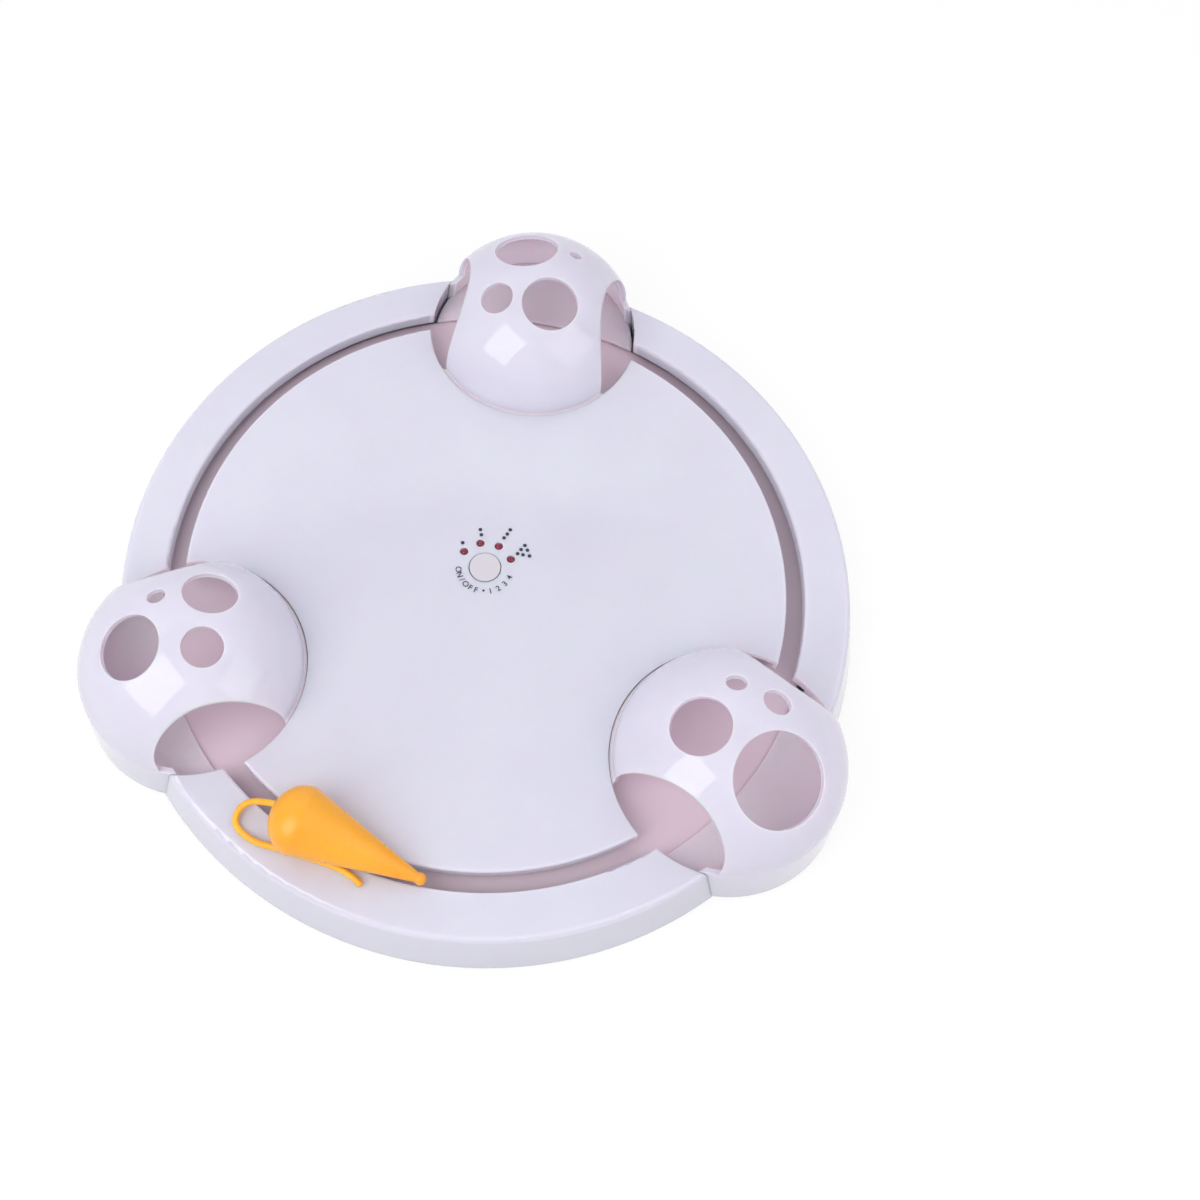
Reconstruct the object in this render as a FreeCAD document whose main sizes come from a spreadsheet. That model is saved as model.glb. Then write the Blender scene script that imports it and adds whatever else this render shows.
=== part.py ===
import FreeCAD, Part
import math
import os
import re
import Sketcher

# Interactive mouse cat toy, in millimetres.
# The pieces are built about the turning axis at floor level, +Z is up, and the back dome stands on +Y.
# At the end all of them move together, so that the origin lies below the middle of the overall box.

Vector = FreeCAD.Vector
Rotation = FreeCAD.Rotation
Placement = FreeCAD.Placement

# Driving sizes: alias, value, meaning
SIZES = [
    ("floor_gap", 1.0, "height of the case bottom above the floor"),
    ("base_wall", 2.0, "thickness of the base plate"),
    ("deck_top", 20.0, "height of the deck surface above the floor"),
    ("deck_wall", 2.2, "thickness of the deck and rim tops"),
    ("deck_radius", 103.7, "outer edge of the centre deck"),
    ("slot_width", 6.2, "width of the round slot"),
    ("rim_width", 15.1, "width of the rim top outside the slot"),
    ("rim_round", 2.0, "rounding of the rim's outer edge"),
    ("slot_round", 0.9, "rounding of the slot's edges"),
    ("skirt_flare", 4.7, "how far the skirt spreads down to its foot"),
    ("skirt_wall", 2.0, "thickness of the skirt"),
    ("lip_wall", 1.5, "thickness of the lips along the slot"),
    ("end_wall", 1.6, "thickness of the walls that close the rim's ends at the domes"),
    ("lip_drop", 2.8, "how far the lips hang below the deck"),
    ("case_gap", 0.3, "gap between case parts that stand beside each other"),
    ("dome_out", 0.2, "distance of each dome centre outside the deck's edge"),
    ("dome_radius", 37.6, "outer radius of a dome at deck level"),
    ("dome_height", 30.5, "height of a dome above the deck"),
    ("dome_wall", 2.0, "thickness of a dome"),
    ("dome_flare", 1.9, "how far the dome foot spreads down to the floor"),
    ("dome_band", 0.95, "width of the band round the dome foot"),
    ("band_drop", 0.6, "how far the band's top lies below the deck"),
    ("arch_reach", 24.0, "inner edge of an archway, inward from the dome centre"),
    ("arch_sill", 2.0, "outer edge of an archway, inside the rim's edge"),
    ("arch_height", 23.0, "height of an archway above the deck"),
    ("arch_apex", 0.5, "how far an archway's top lies inward from the dome centre"),
    ("arch_rise", 5.0, "height of the upright outer side of an archway"),
    ("tray_wall", 1.2, "thickness of the floor inside a dome"),
    ("tray_lap", 0.3, "how far that floor reaches over the turntable's edge"),
    ("drum_radius", 64.0, "outer radius of the fixed drum"),
    ("drum_wall", 2.0, "thickness of the drum wall"),
    ("sleeve_gap", 0.3, "gap between the drum and the turning sleeve"),
    ("sleeve_wall", 2.0, "thickness of the turning sleeve"),
    ("sleeve_top", 12.4, "height of the sleeve's upper edge"),
    ("gear_low", 4.2, "lower face of the drive gear stage"),
    ("gear_play", 0.2, "play of the gears above and below"),
    ("second_hub", 0.9, "wall of the second gear's hub"),
    ("first_hub", 1.2, "wall of the first gear's hub"),
    ("window_gap", 0.8, "gap round the output gear in the drum wall"),
    ("web_low", 8.6, "lower face of the turntable web"),
    ("web_wall", 1.8, "thickness of the turntable web"),
    ("ring_reach", 2.6, "how far the turntable reaches under the rim"),
    ("ring_drop", 2.4, "how far the turntable's outer lip hangs below its web"),
    ("flange_in", 2.0, "gap between the turntable's edge and the rim's low flange"),
    ("flange_out", 10.0, "outer edge of that flange under the domes, from the turntable's edge"),
    ("gear_rim", 74.0, "outer radius of the toothed rim"),
    ("rail_place", 93.0, "middle radius of the running rail"),
    ("rail_wall", 2.0, "width of the running rail"),
    ("run_gap", 0.3, "height of the turntable above its rail"),
    ("post_radius", 2.0, "radius of the drive post"),
    ("post_angle", 247.9, "direction of the drive post from the axis"),
    ("post_boss", 5.0, "radius of the post boss on the turntable"),
    ("post_boss_high", 3.0, "height of the post boss"),
    ("mouse_gap", 0.8, "gap between the mouse and the deck"),
    ("mouse_half", 11.44, "half width of the mouse at its widest place"),
    ("mouse_cap", 10.04, "length of the mouse's round back behind that place"),
    ("mouse_squash", 0.86, "height of the mouse over its width"),
    ("mouse_length", 40.46, "from the widest place to the end of the cone"),
    ("mouse_tip", 1.45, "half width of the end of the cone"),
    ("mouse_wall", 1.6, "thickness of the mouse shell"),
    ("mouse_toe", 9.2, "how far the mouse points inward from the slot, in degrees"),
    ("mouse_ahead", 0.7, "how far the mouse's widest place lies ahead of the post"),
    ("mouse_aside", 0.27, "how far the mouse lies outside the post"),
    ("nose_radius", 2.0, "radius of the nose ball"),
    ("nose_out", 0.56, "how far the nose ball's centre lies in front of the cone"),
    ("nose_lift", 0.2, "height of the nose ball above the mouse's lowest line"),
    ("socket_plate", 6.0, "radius of the plate under the mouse"),
    ("socket_boss", 4.2, "radius of the socket for the post"),
    ("socket_high", 7.5, "height of the socket above the plate's lower face"),
    ("socket_roof", 1.5, "thickness of the socket's roof"),
    ("plate_high", 2.6, "thickness of the plate under the mouse"),
    ("tail_radius", 1.05, "radius of the tail cord"),
    ("tail_lift", 0.2, "gap between the tail and the rim"),
    ("button_radius", 5.35, "radius of the push button"),
    ("button_place", 2.0, "distance of the button from the axis, towards the back dome"),
    ("button_gap", 0.3, "gap round the push button"),
    ("button_proud", 0.15, "how far the button stands above the deck"),
    ("button_travel", 0.4, "travel of the push button"),
    ("button_flange", 1.0, "width of the flange that keeps the button under the deck"),
    ("flange_gap", 0.5, "gap between the button's flange and the deck plate"),
    ("stem_wall", 0.5, "how far the button's stem reaches beyond the plunger"),
    ("stem_high", 1.0, "height of the button's stem"),
    ("lamp_radius", 1.3, "radius of a lamp"),
    ("lamp_gap", 0.15, "gap round a lamp"),
    ("lamp_place", 9.5, "distance of the lamps from the button centre"),
    ("lamp_proud", 0.2, "how far a lamp stands above the deck"),
    ("lamp_stand", 3.0, "height of a lamp's legs"),
    ("lamp_flange", 0.4, "width of a lamp's flange"),
    ("lamp_flange_high", 1.0, "height of a lamp's flange"),
    ("board_low", 9.4, "lower face of the circuit board"),
    ("board_wall", 1.6, "thickness of the circuit board"),
    ("switch_side", 6.0, "side of the push switch"),
    ("switch_high", 3.6, "height of the push switch body"),
    ("plunger_radius", 1.7, "radius of the switch plunger"),
    ("plunger_out", 0.8, "how far the plunger stands out of the switch"),
    ("plunger_in", 0.9, "how far the plunger reaches into the switch"),
    ("run_fit", 0.05, "radial clearance of a turning or sliding pin"),
    ("motor_radius", 12.2, "radius of the motor can"),
    ("motor_high", 8.2, "height of the motor can"),
    ("motor_nose_high", 0.5, "height of the motor's nose"),
    ("end_play", 0.1, "free length behind a sliding or turning pin"),
    ("shaft_radius", 1.0, "radius of the motor shaft and the thin axles"),
    ("axle_radius", 1.5, "radius of the thick axles"),
    ("mesh_gap", 0.16, "tooth play as a share of the module"),
    ("cell_radius", 7.25, "radius of a battery cell"),
    ("cell_length", 50.5, "length of a battery cell with its nub"),
    ("nub_length", 1.3, "length of a cell's nub"),
    ("nub_radius", 2.75, "radius of a cell's nub"),
    ("cell_pitch", 15.0, "distance between neighbouring cells"),
    ("bay_front", -8.1, "inner face of the battery bay next to the board"),
    ("bay_wall", 1.5, "thickness of the battery bay walls"),
    ("spring_room", 4.5, "length of a pressed battery spring"),
    ("contact_wall", 0.5, "thickness of a battery contact"),
    ("door_wall", 1.6, "thickness of the battery door"),
    ("tongue_wall", 2.4, "thickness of the door's screw tongues"),
    ("tongue_long", 7.4, "length of the door's screw tongues"),
    ("tongue_root", 1.0, "how far the tongues reach into the door"),
    ("tongue_half", 5.0, "half width of the door's screw tongues"),
    ("cell_play", 0.25, "play round the row of cells"),
    ("cell_lift", 0.2, "gap between the cells and the battery door"),
    ("contact_tab", 2.5, "length of a contact's solder tab"),
    ("tab_wide", 2.3, "width of a contact's solder tab"),
    ("tab_low", 8.0, "height of the solder tabs"),
    ("board_half", 17.0, "half width of the circuit board"),
    ("board_front", -6.0, "edge of the board next to the battery bay"),
    ("board_back", 15.0, "edge of the board next to the gears"),
    ("mouse_flat", 0.6, "height of the flat cut under the mouse"),
    ("lug_wall", 2.0, "thickness of the dome's screw lugs"),
    ("screw_radius", 1.4, "radius of a case screw"),
    ("screw_head", 2.8, "radius of a case screw head"),
    ("screw_length", 10.0, "length of a case screw under its head"),
    ("dome_screw", 7.5, "length of a dome screw under its head"),
    ("deck_bolt_in", 14.0, "distance of the deck screws inside the drum's face"),
    ("rim_bolt_out", 7.0, "distance of the rim screws outside the turntable's edge"),
    ("dome_bolt_in", 6.5, "distance of the dome screws inside the dome's edge"),
    ("screw_head_high", 1.6, "height of a case screw head"),
    ("small_radius", 0.9, "radius of a small screw"),
    ("small_head", 1.8, "radius of a small screw head"),
    ("small_head_high", 1.2, "height of a small screw head"),
    ("small_length", 5.0, "length of a small screw under its head"),
    ("screw_fit", 0.05, "radial play of a screw in its boss"),
    ("screw_pass", 0.3, "radial play of a screw in a through hole"),
    ("seat_wall", 2.2, "thickness of a screw seat above the case bottom"),
    ("small_seat", 1.3, "depth of a sunk small screw head with its play"),
    ("cover_wall", 1.5, "thickness of the gearbox cover"),
    ("cover_room", 3.5, "distance of the gearbox cover's lower face below the deck plate"),
    ("fast_rise", 1.6, "distance of the fast gear stage above the turntable's web"),
    ("clamp_wall", 1.0, "thickness of the motor clamp"),
    ("clamp_wide", 5.0, "width of the motor clamp"),
    ("cradle_high", 3.0, "height of the ring round the motor"),
    ("axle_boss", 1.6, "wall of an axle boss"),
    ("boss_wall", 2.1, "wall of a screw boss"),
    ("foot_radius", 6.0, "radius of a rubber foot"),
    ("foot_out", 10.3, "distance of the feet outside the deck's edge"),
    ("foot_sink", 0.8, "depth of a foot in the base plate"),
    ("lead_radius", 0.6, "radius of an insulated lead"),
]

# Sizes that follow from the driving sizes
FOLLOWING = {
    "rim_radius": "(deck_radius + slot_width + rim_width)",
    "dome_place": "(deck_radius + dome_out)",
    "ring_radius": "(deck_radius + slot_width + ring_reach)",
    "foot_place": "(deck_radius + foot_out)",
    "arch_outer": "(slot_width + rim_width - arch_sill - dome_out)",
}

DOME_ANGLES = {"back": 90.0, "left": 210.0, "right": 330.0}

# Round holes of each dome: turn from outward, climb on the dome, radius
DOME_HOLES = {
    "back": [(216, 73, 10.1), (125, 65, 6.0), (22, 63, 11.5), (323, 58, 2.3)],
    "left": [(219, 61, 9.1), (132, 74, 6.8), (356, 65, 10.9), (281, 66, 3.1)],
    "right": [(209, 69, 9.8), (133, 63, 3.4), (83, 66, 4.6), (347, 61.3, 15.1)],
}
LAMP_ANGLES = [150.0, 110.0, 70.0, 30.0]
PRESSURE_ANGLE = math.radians(25.0)
TOOTH_TOP = 0.8
TOOTH_FOOT = 1.05

doc = FreeCAD.newDocument("mouse_cat_toy")
sheet = doc.addObject("Spreadsheet::Sheet", "Sizes")
for row, (alias, value, meaning) in enumerate(SIZES, start=1):
    sheet.set("A%d" % row, meaning)
    sheet.set("B%d" % row, str(value))
    sheet.setAlias("B%d" % row, alias)
doc.recompute()

ALIAS = re.compile(r"\b(" + "|".join(alias for alias, value, meaning in SIZES) + r")\b")
FOLLOWER = re.compile(r"\b(" + "|".join(FOLLOWING) + r")\b")
subparts = {}


def on_sheet(value):
    """An expression with its names replaced by cells of the sheet."""
    return ALIAS.sub(r"Sizes.\1", FOLLOWER.sub(lambda found: FOLLOWING[found.group(1)], value))


def number(value):
    """The present value of a number or of an expression on the sheet."""
    if not isinstance(value, str):
        return float(value)
    return float(sheet.evalExpression(on_sheet(value)))


def bind(thing, prop, value):
    """Give a property a number, or tie it to the sheet."""
    if isinstance(value, str):
        thing.setExpression(prop, on_sheet(value))
    elif "." in prop:
        axis = prop.rsplit(".", 1)[1]
        base = thing.Placement.Base
        setattr(base, axis, value)
        thing.Placement = Placement(base, thing.Placement.Rotation)
    else:
        setattr(thing, prop, value)


def primitive(kind, name, place, **sizes):
    """A Part primitive with its sizes and place tied to the sheet."""
    thing = doc.addObject("Part::" + kind, name)
    for prop, value in sizes.items():
        bind(thing, prop, value)
    for axis, value in zip("xyz", place):
        bind(thing, "Placement.Base." + axis, value)
    return thing


def cylinder(name, radius, height, place):
    return primitive("Cylinder", name, place, Radius=radius, Height=height)


def cone(name, low_radius, high_radius, height, place):
    return primitive("Cone", name, place, Radius1=low_radius, Radius2=high_radius, Height=height)


def box(name, length, width, height, place):
    return primitive("Box", name, place, Length=length, Width=width, Height=height)


def fuse(name, *things):
    thing = doc.addObject("Part::MultiFuse", name)
    thing.Shapes = list(things)
    return thing


def common(name, *things):
    thing = doc.addObject("Part::MultiCommon", name)
    thing.Shapes = list(things)
    return thing


def cut(name, base, *tools):
    thing = doc.addObject("Part::Cut", name)
    thing.Base = base
    thing.Tool = tools[0] if len(tools) == 1 else fuse(name + "_tools", *tools)
    return thing


def group(name, things):
    thing = doc.addObject("Part::Compound", name)
    thing.Links = list(things)
    return thing


def solid(name, shape):
    """A shape that Part's own functions made."""
    thing = doc.addObject("Part::Feature", name)
    thing.Shape = shape
    return thing


def keep(node, thing):
    """Register a finished sub-part under its node name."""
    thing.Label = node
    subparts[node] = thing
    return thing


def tube(name, outer, inner, height, place):
    return cut(name, cylinder(name + "_outer", outer, height, place),
               cylinder(name + "_inner", inner, height, place))


def outline_sketch(body, name, role, points):
    """A closed outline of straight lines whose corners are tied to the sheet."""
    plane = [f for f in body.Origin.OriginFeatures if f.Role == role][0]
    sketch = body.newObject("Sketcher::SketchObject", name)
    sketch.AttachmentSupport = [(plane, "")]
    sketch.MapMode = "FlatFace"
    count = len(points)
    places = [Vector(*(number(value) for value in point), 0) for point in points]
    for index in range(count):
        sketch.addGeometry(Part.LineSegment(places[index], places[(index + 1) % count]), False)
    for index in range(count):
        sketch.addConstraint(Sketcher.Constraint("Coincident", index, 2, (index + 1) % count, 1))
    for index, point in enumerate(points):
        for kind, axis, value in (("DistanceX", -2, point[0]), ("DistanceY", -1, point[1])):
            if value == 0:
                sketch.addConstraint(Sketcher.Constraint("PointOnObject", index, 1, axis))
                continue
            place = sketch.addConstraint(Sketcher.Constraint(kind, -1, 1, index, 1, number(value)))
            if isinstance(value, str):
                bind(sketch, "Constraints[%d]" % place, value)
    return sketch


def revolved(name, points):
    """A body turned about the Z axis from an outline of (radius, height) corners."""
    body = doc.addObject("PartDesign::Body", name)
    sketch = outline_sketch(body, name + "_section", "XZ_Plane", points)
    turn = body.newObject("PartDesign::Revolution", name + "_turn")
    turn.Profile = sketch
    turn.ReferenceAxis = (sketch, ["V_Axis"])
    turn.Angle = 360.0
    return body


def padded(name, points, low, height):
    """A body padded up from an outline of (x, y) corners."""
    body = doc.addObject("PartDesign::Body", name)
    sketch = outline_sketch(body, name + "_outline", "XY_Plane", points)
    pad = body.newObject("PartDesign::Pad", name + "_pad")
    pad.Profile = sketch
    bind(pad, "Length", height)
    bind(body, "Placement.Base.z", low)
    return body


def rounded(name, base, radius, wanted):
    """Fillet the edges of a finished shape for which wanted(edge) is true."""
    doc.recompute()
    picks = [place for place, edge in enumerate(base.Shape.Edges, start=1) if wanted(edge)]
    thing = doc.addObject("Part::Fillet", name)
    thing.Base = base
    thing.Edges = [(place, radius, radius) for place in picks]
    return thing


def top_edge(radius):
    """Picks the round edge of that radius at deck level."""
    reach, height = number(radius), number("deck_top")

    def wanted(edge):
        curve = edge.Curve
        return (isinstance(curve, Part.Circle) and abs(curve.Radius - reach) < 0.01
                and abs(curve.Center.z - height) < 0.01)
    return wanted


def around(angle, radius):
    """The (x, y) of a direction and distance from the axis."""
    turn = math.radians(angle)
    return radius * math.cos(turn), radius * math.sin(turn)


def dome_point(angle, outward, across):
    """The (x, y) of a place given outward and across from a dome's centre."""
    turn = math.radians(angle)
    reach = number("dome_place") + outward
    return (reach * math.cos(turn) - across * math.sin(turn),
            reach * math.sin(turn) + across * math.cos(turn))


# Places that several pieces share

BASE_TOP = "floor_gap + base_wall"
SEAT_TOP = "floor_gap + base_wall + seat_wall"
HEAD_TOP = "floor_gap + seat_wall"
DECK_UNDER = "deck_top - deck_wall"
BOARD_TOP = "board_low + board_wall"
MOTOR_TOP = "floor_gap + base_wall + motor_high"
SHAFT_FLOOR = "floor_gap + 2 * base_wall"
COVER_LOW = "deck_top - deck_wall - cover_room"
DOOR_SEAT = "floor_gap + small_seat"
CELL_MIDDLE = "(floor_gap + door_wall + cell_lift + cell_radius)"
FLANGE_TOP = BASE_TOP + " + base_wall"
AXLE_LOW = "floor_gap + base_wall / 2"
FAST_LOW = "web_low + web_wall + fast_rise"
FLAT_LOW = "deck_top + mouse_gap + mouse_flat"
TRAY_LOW = "web_low + web_wall + run_gap"
TRAY_MIDDLE = TRAY_LOW + " + tray_wall / 2"
STEM_LOW = "%s + switch_high + plunger_out" % BOARD_TOP
PLUNGER_LOW = "%s + switch_high - plunger_in" % BOARD_TOP
BASE_RADIUS = "rim_radius + skirt_flare - skirt_wall - 3 * case_gap"
LOBE_RADIUS = "dome_radius + dome_flare - dome_wall - 2 * case_gap"
BAY_LONG = "(cell_length + spring_room + 2 * contact_wall)"
BAY_WIDE = "(3 * cell_pitch + 2 * cell_play)"
REAR_EDGE = "bay_front - (%s)" % BAY_WIDE
SLOT_OUTER = "deck_radius + slot_width"

LUG_TURN = 38.0
LUG_REACH = 4.7
LUG_LOW = "sleeve_top + 1"
LUG_WALL = "lug_wall"
RIB_SPREAD = 22.0
BOLT_TURN = 27.8
BOLT_OUT, BOLT_ACROSS = around(BOLT_TURN, number("dome_radius - dome_bolt_in"))
CLAMP_REACH = 15.4
CLAMP_OUT = 6.5
FRONT_BOLT_IN, REAR_BOLT_IN = 3.3, 3.7
FEET, FOOT_TURN = 6, 30.0
LEG_SIDE, LEG_SPREAD = 0.5, 0.9
CAPACITOR_RADIUS, CAPACITOR_HIGH = 2.0, 5.0
LEAST_TIP = 0.4
BEND_SHARE = 0.45

DECK_BOLTS = [around(angle, number("drum_radius - deck_bolt_in")) for angle in (158.0, 5.0, 203.0, 337.0)]
RIM_BOLTS = [around(angle, number("ring_radius + rim_bolt_out"))
             for angle in (5.0, 55.0, 125.0, 175.0, 245.0, 295.0)]
DOME_BOLTS = [dome_point(angle, BOLT_OUT, side * BOLT_ACROSS)
              for angle in DOME_ANGLES.values() for side in (-1, 1)]
BOARD_BOLTS = [(-14.0, 11.5), (14.0, 11.5)]
BOARD_RESTS = [(-14.0, -3.0), (14.0, -3.0)]
COVER_BOLTS = [(45.0, 24.0), (20.0, 55.0), (4.0, 22.0)]


def lug_places(angle):
    """Centres of a dome's two screw lugs."""
    reach = number("dome_radius") + LUG_REACH
    return [dome_point(angle, reach * math.cos(math.radians(180.0 + side * LUG_TURN)),
                       reach * math.sin(math.radians(180.0 + side * LUG_TURN)))
            for side in (-1, 1)]


# Gear train: teeth, module and place of each stage

RING_TEETH, OUTPUT_TEETH, SECOND_PINION = 92, 16, 10
SECOND_WHEEL, FIRST_PINION = 36, 10
FIRST_WHEEL, MOTOR_TEETH = 50, 10
DRIVE_MODULE, MIDDLE_MODULE, FAST_MODULE = 1.5, 0.8, 0.6


def step(start, reach, angle):
    x, y = around(angle, reach)
    return start[0] + x, start[1] + y


def mesh_reach(module, teeth_a, teeth_b):
    return module * (teeth_a + teeth_b) / 2.0


OUTPUT_AXIS = around(50.0, DRIVE_MODULE * (RING_TEETH - OUTPUT_TEETH) / 2.0)
SECOND_AXIS = step(OUTPUT_AXIS, mesh_reach(DRIVE_MODULE, OUTPUT_TEETH, SECOND_PINION), 211.5)
FIRST_AXIS = step(SECOND_AXIS, mesh_reach(MIDDLE_MODULE, SECOND_WHEEL, FIRST_PINION), 150.0)
MOTOR_AXIS = step(FIRST_AXIS, mesh_reach(FAST_MODULE, FIRST_WHEEL, MOTOR_TEETH), 190.0)
CLAMP_X = MOTOR_AXIS[0] - CLAMP_OUT
CLAMP_BOLTS = [(CLAMP_X, MOTOR_AXIS[1] + side * CLAMP_REACH) for side in (-1, 1)]
POST_AXIS = around(number("post_angle"), number("deck_radius") + number("slot_width") / 2.0)
CELL_ROWS = [number("bay_front - cell_play") - (index + 0.5) * number("cell_pitch") for index in range(3)]
LAMPS = [step((0.0, number("button_place")), number("lamp_place"), angle) for angle in LAMP_ANGLES]
DOOR_BOLTS = [(0.0, number("bay_front") + number("tongue_long") - FRONT_BOLT_IN),
              (0.0, number(REAR_EDGE) - number("tongue_long") + REAR_BOLT_IN)]
OUTPUT_TIP = DRIVE_MODULE * (OUTPUT_TEETH / 2.0 + TOOTH_TOP)
AXLES = [("output", OUTPUT_AXIS, "axle_radius", "gear_low"),
         ("second", SECOND_AXIS, "axle_radius", "gear_low"),
         ("first", FIRST_AXIS, "shaft_radius", "web_low - gear_play")]


def bearing(start, end):
    return math.degrees(math.atan2(end[1] - start[1], end[0] - start[0]))


def partner_phase(phase_a, teeth_a, teeth_b, direction):
    """Tooth direction of gear B so that it meshes with gear A, B lying that way from A."""
    share = ((direction - phase_a) * teeth_a / 360.0) % 1.0
    return direction + 180.0 - (0.5 - share) * 360.0 / teeth_b


RING_PHASE = 0.0
OUTPUT_LINE = bearing((0.0, 0.0), OUTPUT_AXIS)
OUTPUT_PHASE = OUTPUT_LINE - (((OUTPUT_LINE - RING_PHASE) * RING_TEETH / 360.0) % 1.0) * 360.0 / OUTPUT_TEETH
SECOND_PHASE = partner_phase(OUTPUT_PHASE, OUTPUT_TEETH, SECOND_PINION, bearing(OUTPUT_AXIS, SECOND_AXIS))
FIRST_PHASE = partner_phase(SECOND_PHASE, SECOND_WHEEL, FIRST_PINION, bearing(SECOND_AXIS, FIRST_AXIS))
MOTOR_PHASE = partner_phase(FIRST_PHASE, FIRST_WHEEL, MOTOR_TEETH, bearing(FIRST_AXIS, MOTOR_AXIS))


def involute(angle):
    return math.tan(angle) - angle


def gear_face(teeth, module, phase, above, below, play):
    """Face of a toothed wheel; above and below are measured from the pitch circle."""
    pitch = module * teeth / 2.0
    ground = pitch * math.cos(PRESSURE_ANGLE)
    tip = pitch + above
    foot = pitch - below
    start = max(ground, foot)
    half = math.pi / (2 * teeth) - play / (2 * pitch) + involute(PRESSURE_ANGLE)

    def flank(radius, centre, side):
        turn = centre + side * (half - involute(math.acos(min(1.0, ground / radius))))
        return Vector(radius * math.cos(turn), radius * math.sin(turn), 0)

    edges = []
    last = None
    first = None
    for tooth in range(teeth):
        centre = math.radians(phase) + 2 * math.pi * tooth / teeth
        rise = [flank(radius, centre, -1) for radius in (start, (start + tip) / 2, tip)]
        fall = [flank(radius, centre, 1) for radius in (tip, (start + tip) / 2, start)]
        feet = [rise[0], fall[2]]
        if foot < start:
            feet = [place * (foot / start) for place in feet]
            edges_up = [Part.LineSegment(feet[0], rise[0]).toShape()]
            edges_down = [Part.LineSegment(fall[2], feet[1]).toShape()]
        else:
            edges_up = []
            edges_down = []
        if last is not None:
            edges.append(Part.LineSegment(last, feet[0]).toShape())
        else:
            first = feet[0]
        crown = Vector(tip * math.cos(centre), tip * math.sin(centre), 0)
        edges += edges_up
        edges.append(Part.Arc(*rise).toShape())
        edges.append(Part.Arc(rise[2], crown, fall[0]).toShape())
        edges.append(Part.Arc(*fall).toShape())
        edges += edges_down
        last = feet[1]
    edges.append(Part.LineSegment(last, first).toShape())
    return Part.Face(Part.Wire(edges))


def spur(name, teeth, module, phase, axis, low, height):
    """A toothed wheel standing on its axis."""
    play = number("mesh_gap") * module
    face = gear_face(teeth, module, phase, TOOTH_TOP * module, TOOTH_FOOT * module, play)
    wheel = solid(name, face.extrude(Vector(0, 0, height)))
    wheel.Placement = Placement(Vector(axis[0], axis[1], low), Rotation())
    return wheel


def smooth_route(points):
    """Straight runs joined by arcs as large as the runs allow, and the arcs' radii."""
    places = [Vector(*point) for point in points]
    edges = []
    radii = []
    start = places[0]
    for before, corner, after in zip(places, places[1:], places[2:]):
        into = (corner - before).normalize()
        out = (after - corner).normalize()
        turn = into.getAngle(out)
        reach = BEND_SHARE * min((corner - before).Length, (after - corner).Length)
        radius = reach / math.tan(turn / 2)
        radii.append(radius)
        enter = corner - into * reach
        leave = corner + out * reach
        inward = (out - into).normalize()
        middle = corner + inward * (radius / math.cos(turn / 2) - radius)
        edges.append(Part.LineSegment(start, enter).toShape())
        edges.append(Part.Arc(enter, middle, leave).toShape())
        start = leave
    edges.append(Part.LineSegment(start, places[-1]).toShape())
    return Part.Wire(edges), radii


def cord(name, points, radius):
    """A round cord along a smooth route."""
    route, radii = smooth_route(points)
    begin = Vector(*points[0])
    heading = Vector(*points[1]) - begin
    ring = Part.Wire(Part.makeCircle(radius, begin, heading))
    thing = solid(name, route.makePipeShell([ring], True, False))
    share = thing.Shape.Volume / (math.pi * radius ** 2 * route.Length)
    print("%s: length %.1f, smallest radius %.1f, volume share %.4f"
          % (name, route.Length, min(radii), share))
    return thing


# Fasteners

def case_screws(name, places, length="screw_length"):
    """Screws that come up from below into the bosses of the case."""
    screws = []
    for index, (x, y) in enumerate(places):
        tag = "%s_%d" % (name, index)
        head = cylinder(tag + "_head", "screw_head", "screw_head_high",
                        (x, y, HEAD_TOP + " - screw_head_high"))
        shank = cylinder(tag + "_shank", "screw_radius", length, (x, y, HEAD_TOP))
        screws.append(fuse(tag, head, shank))
    return group(name, screws)


def small_screws(name, places, seat, up=False):
    """Small screws whose heads bear on the seat height, from below when up is true."""
    screws = []
    for index, (x, y) in enumerate(places):
        tag = "%s_%d" % (name, index)
        head_low = seat + " - small_head_high" if up else seat
        shank_low = seat if up else seat + " - small_length"
        head = cylinder(tag + "_head", "small_head", "small_head_high", (x, y, head_low))
        shank = cylinder(tag + "_shank", "small_radius", "small_length", (x, y, shank_low))
        screws.append(fuse(tag, head, shank))
    return group(name, screws)


def case_boss(name, place, top, length="screw_length"):
    """A boss that a case screw enters, and its pilot hole."""
    boss = cylinder(name, "screw_radius + boss_wall", "%s - (%s)" % (top, SEAT_TOP), (*place, SEAT_TOP))
    hole = cylinder(name + "_hole", "screw_radius + screw_fit", length + " + run_fit", (*place, HEAD_TOP))
    return boss, hole


def small_boss(name, place, top, low=BASE_TOP):
    """A boss that a small screw enters from above, and its pilot hole."""
    boss = cylinder(name, "small_radius + boss_wall", "%s - (%s)" % (top, low), (*place, low))
    hole = cylinder(name + "_hole", "small_radius + screw_fit", "small_length + screw_fit",
                    (*place, "%s - small_length" % top))
    return boss, hole


# Case

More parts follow.
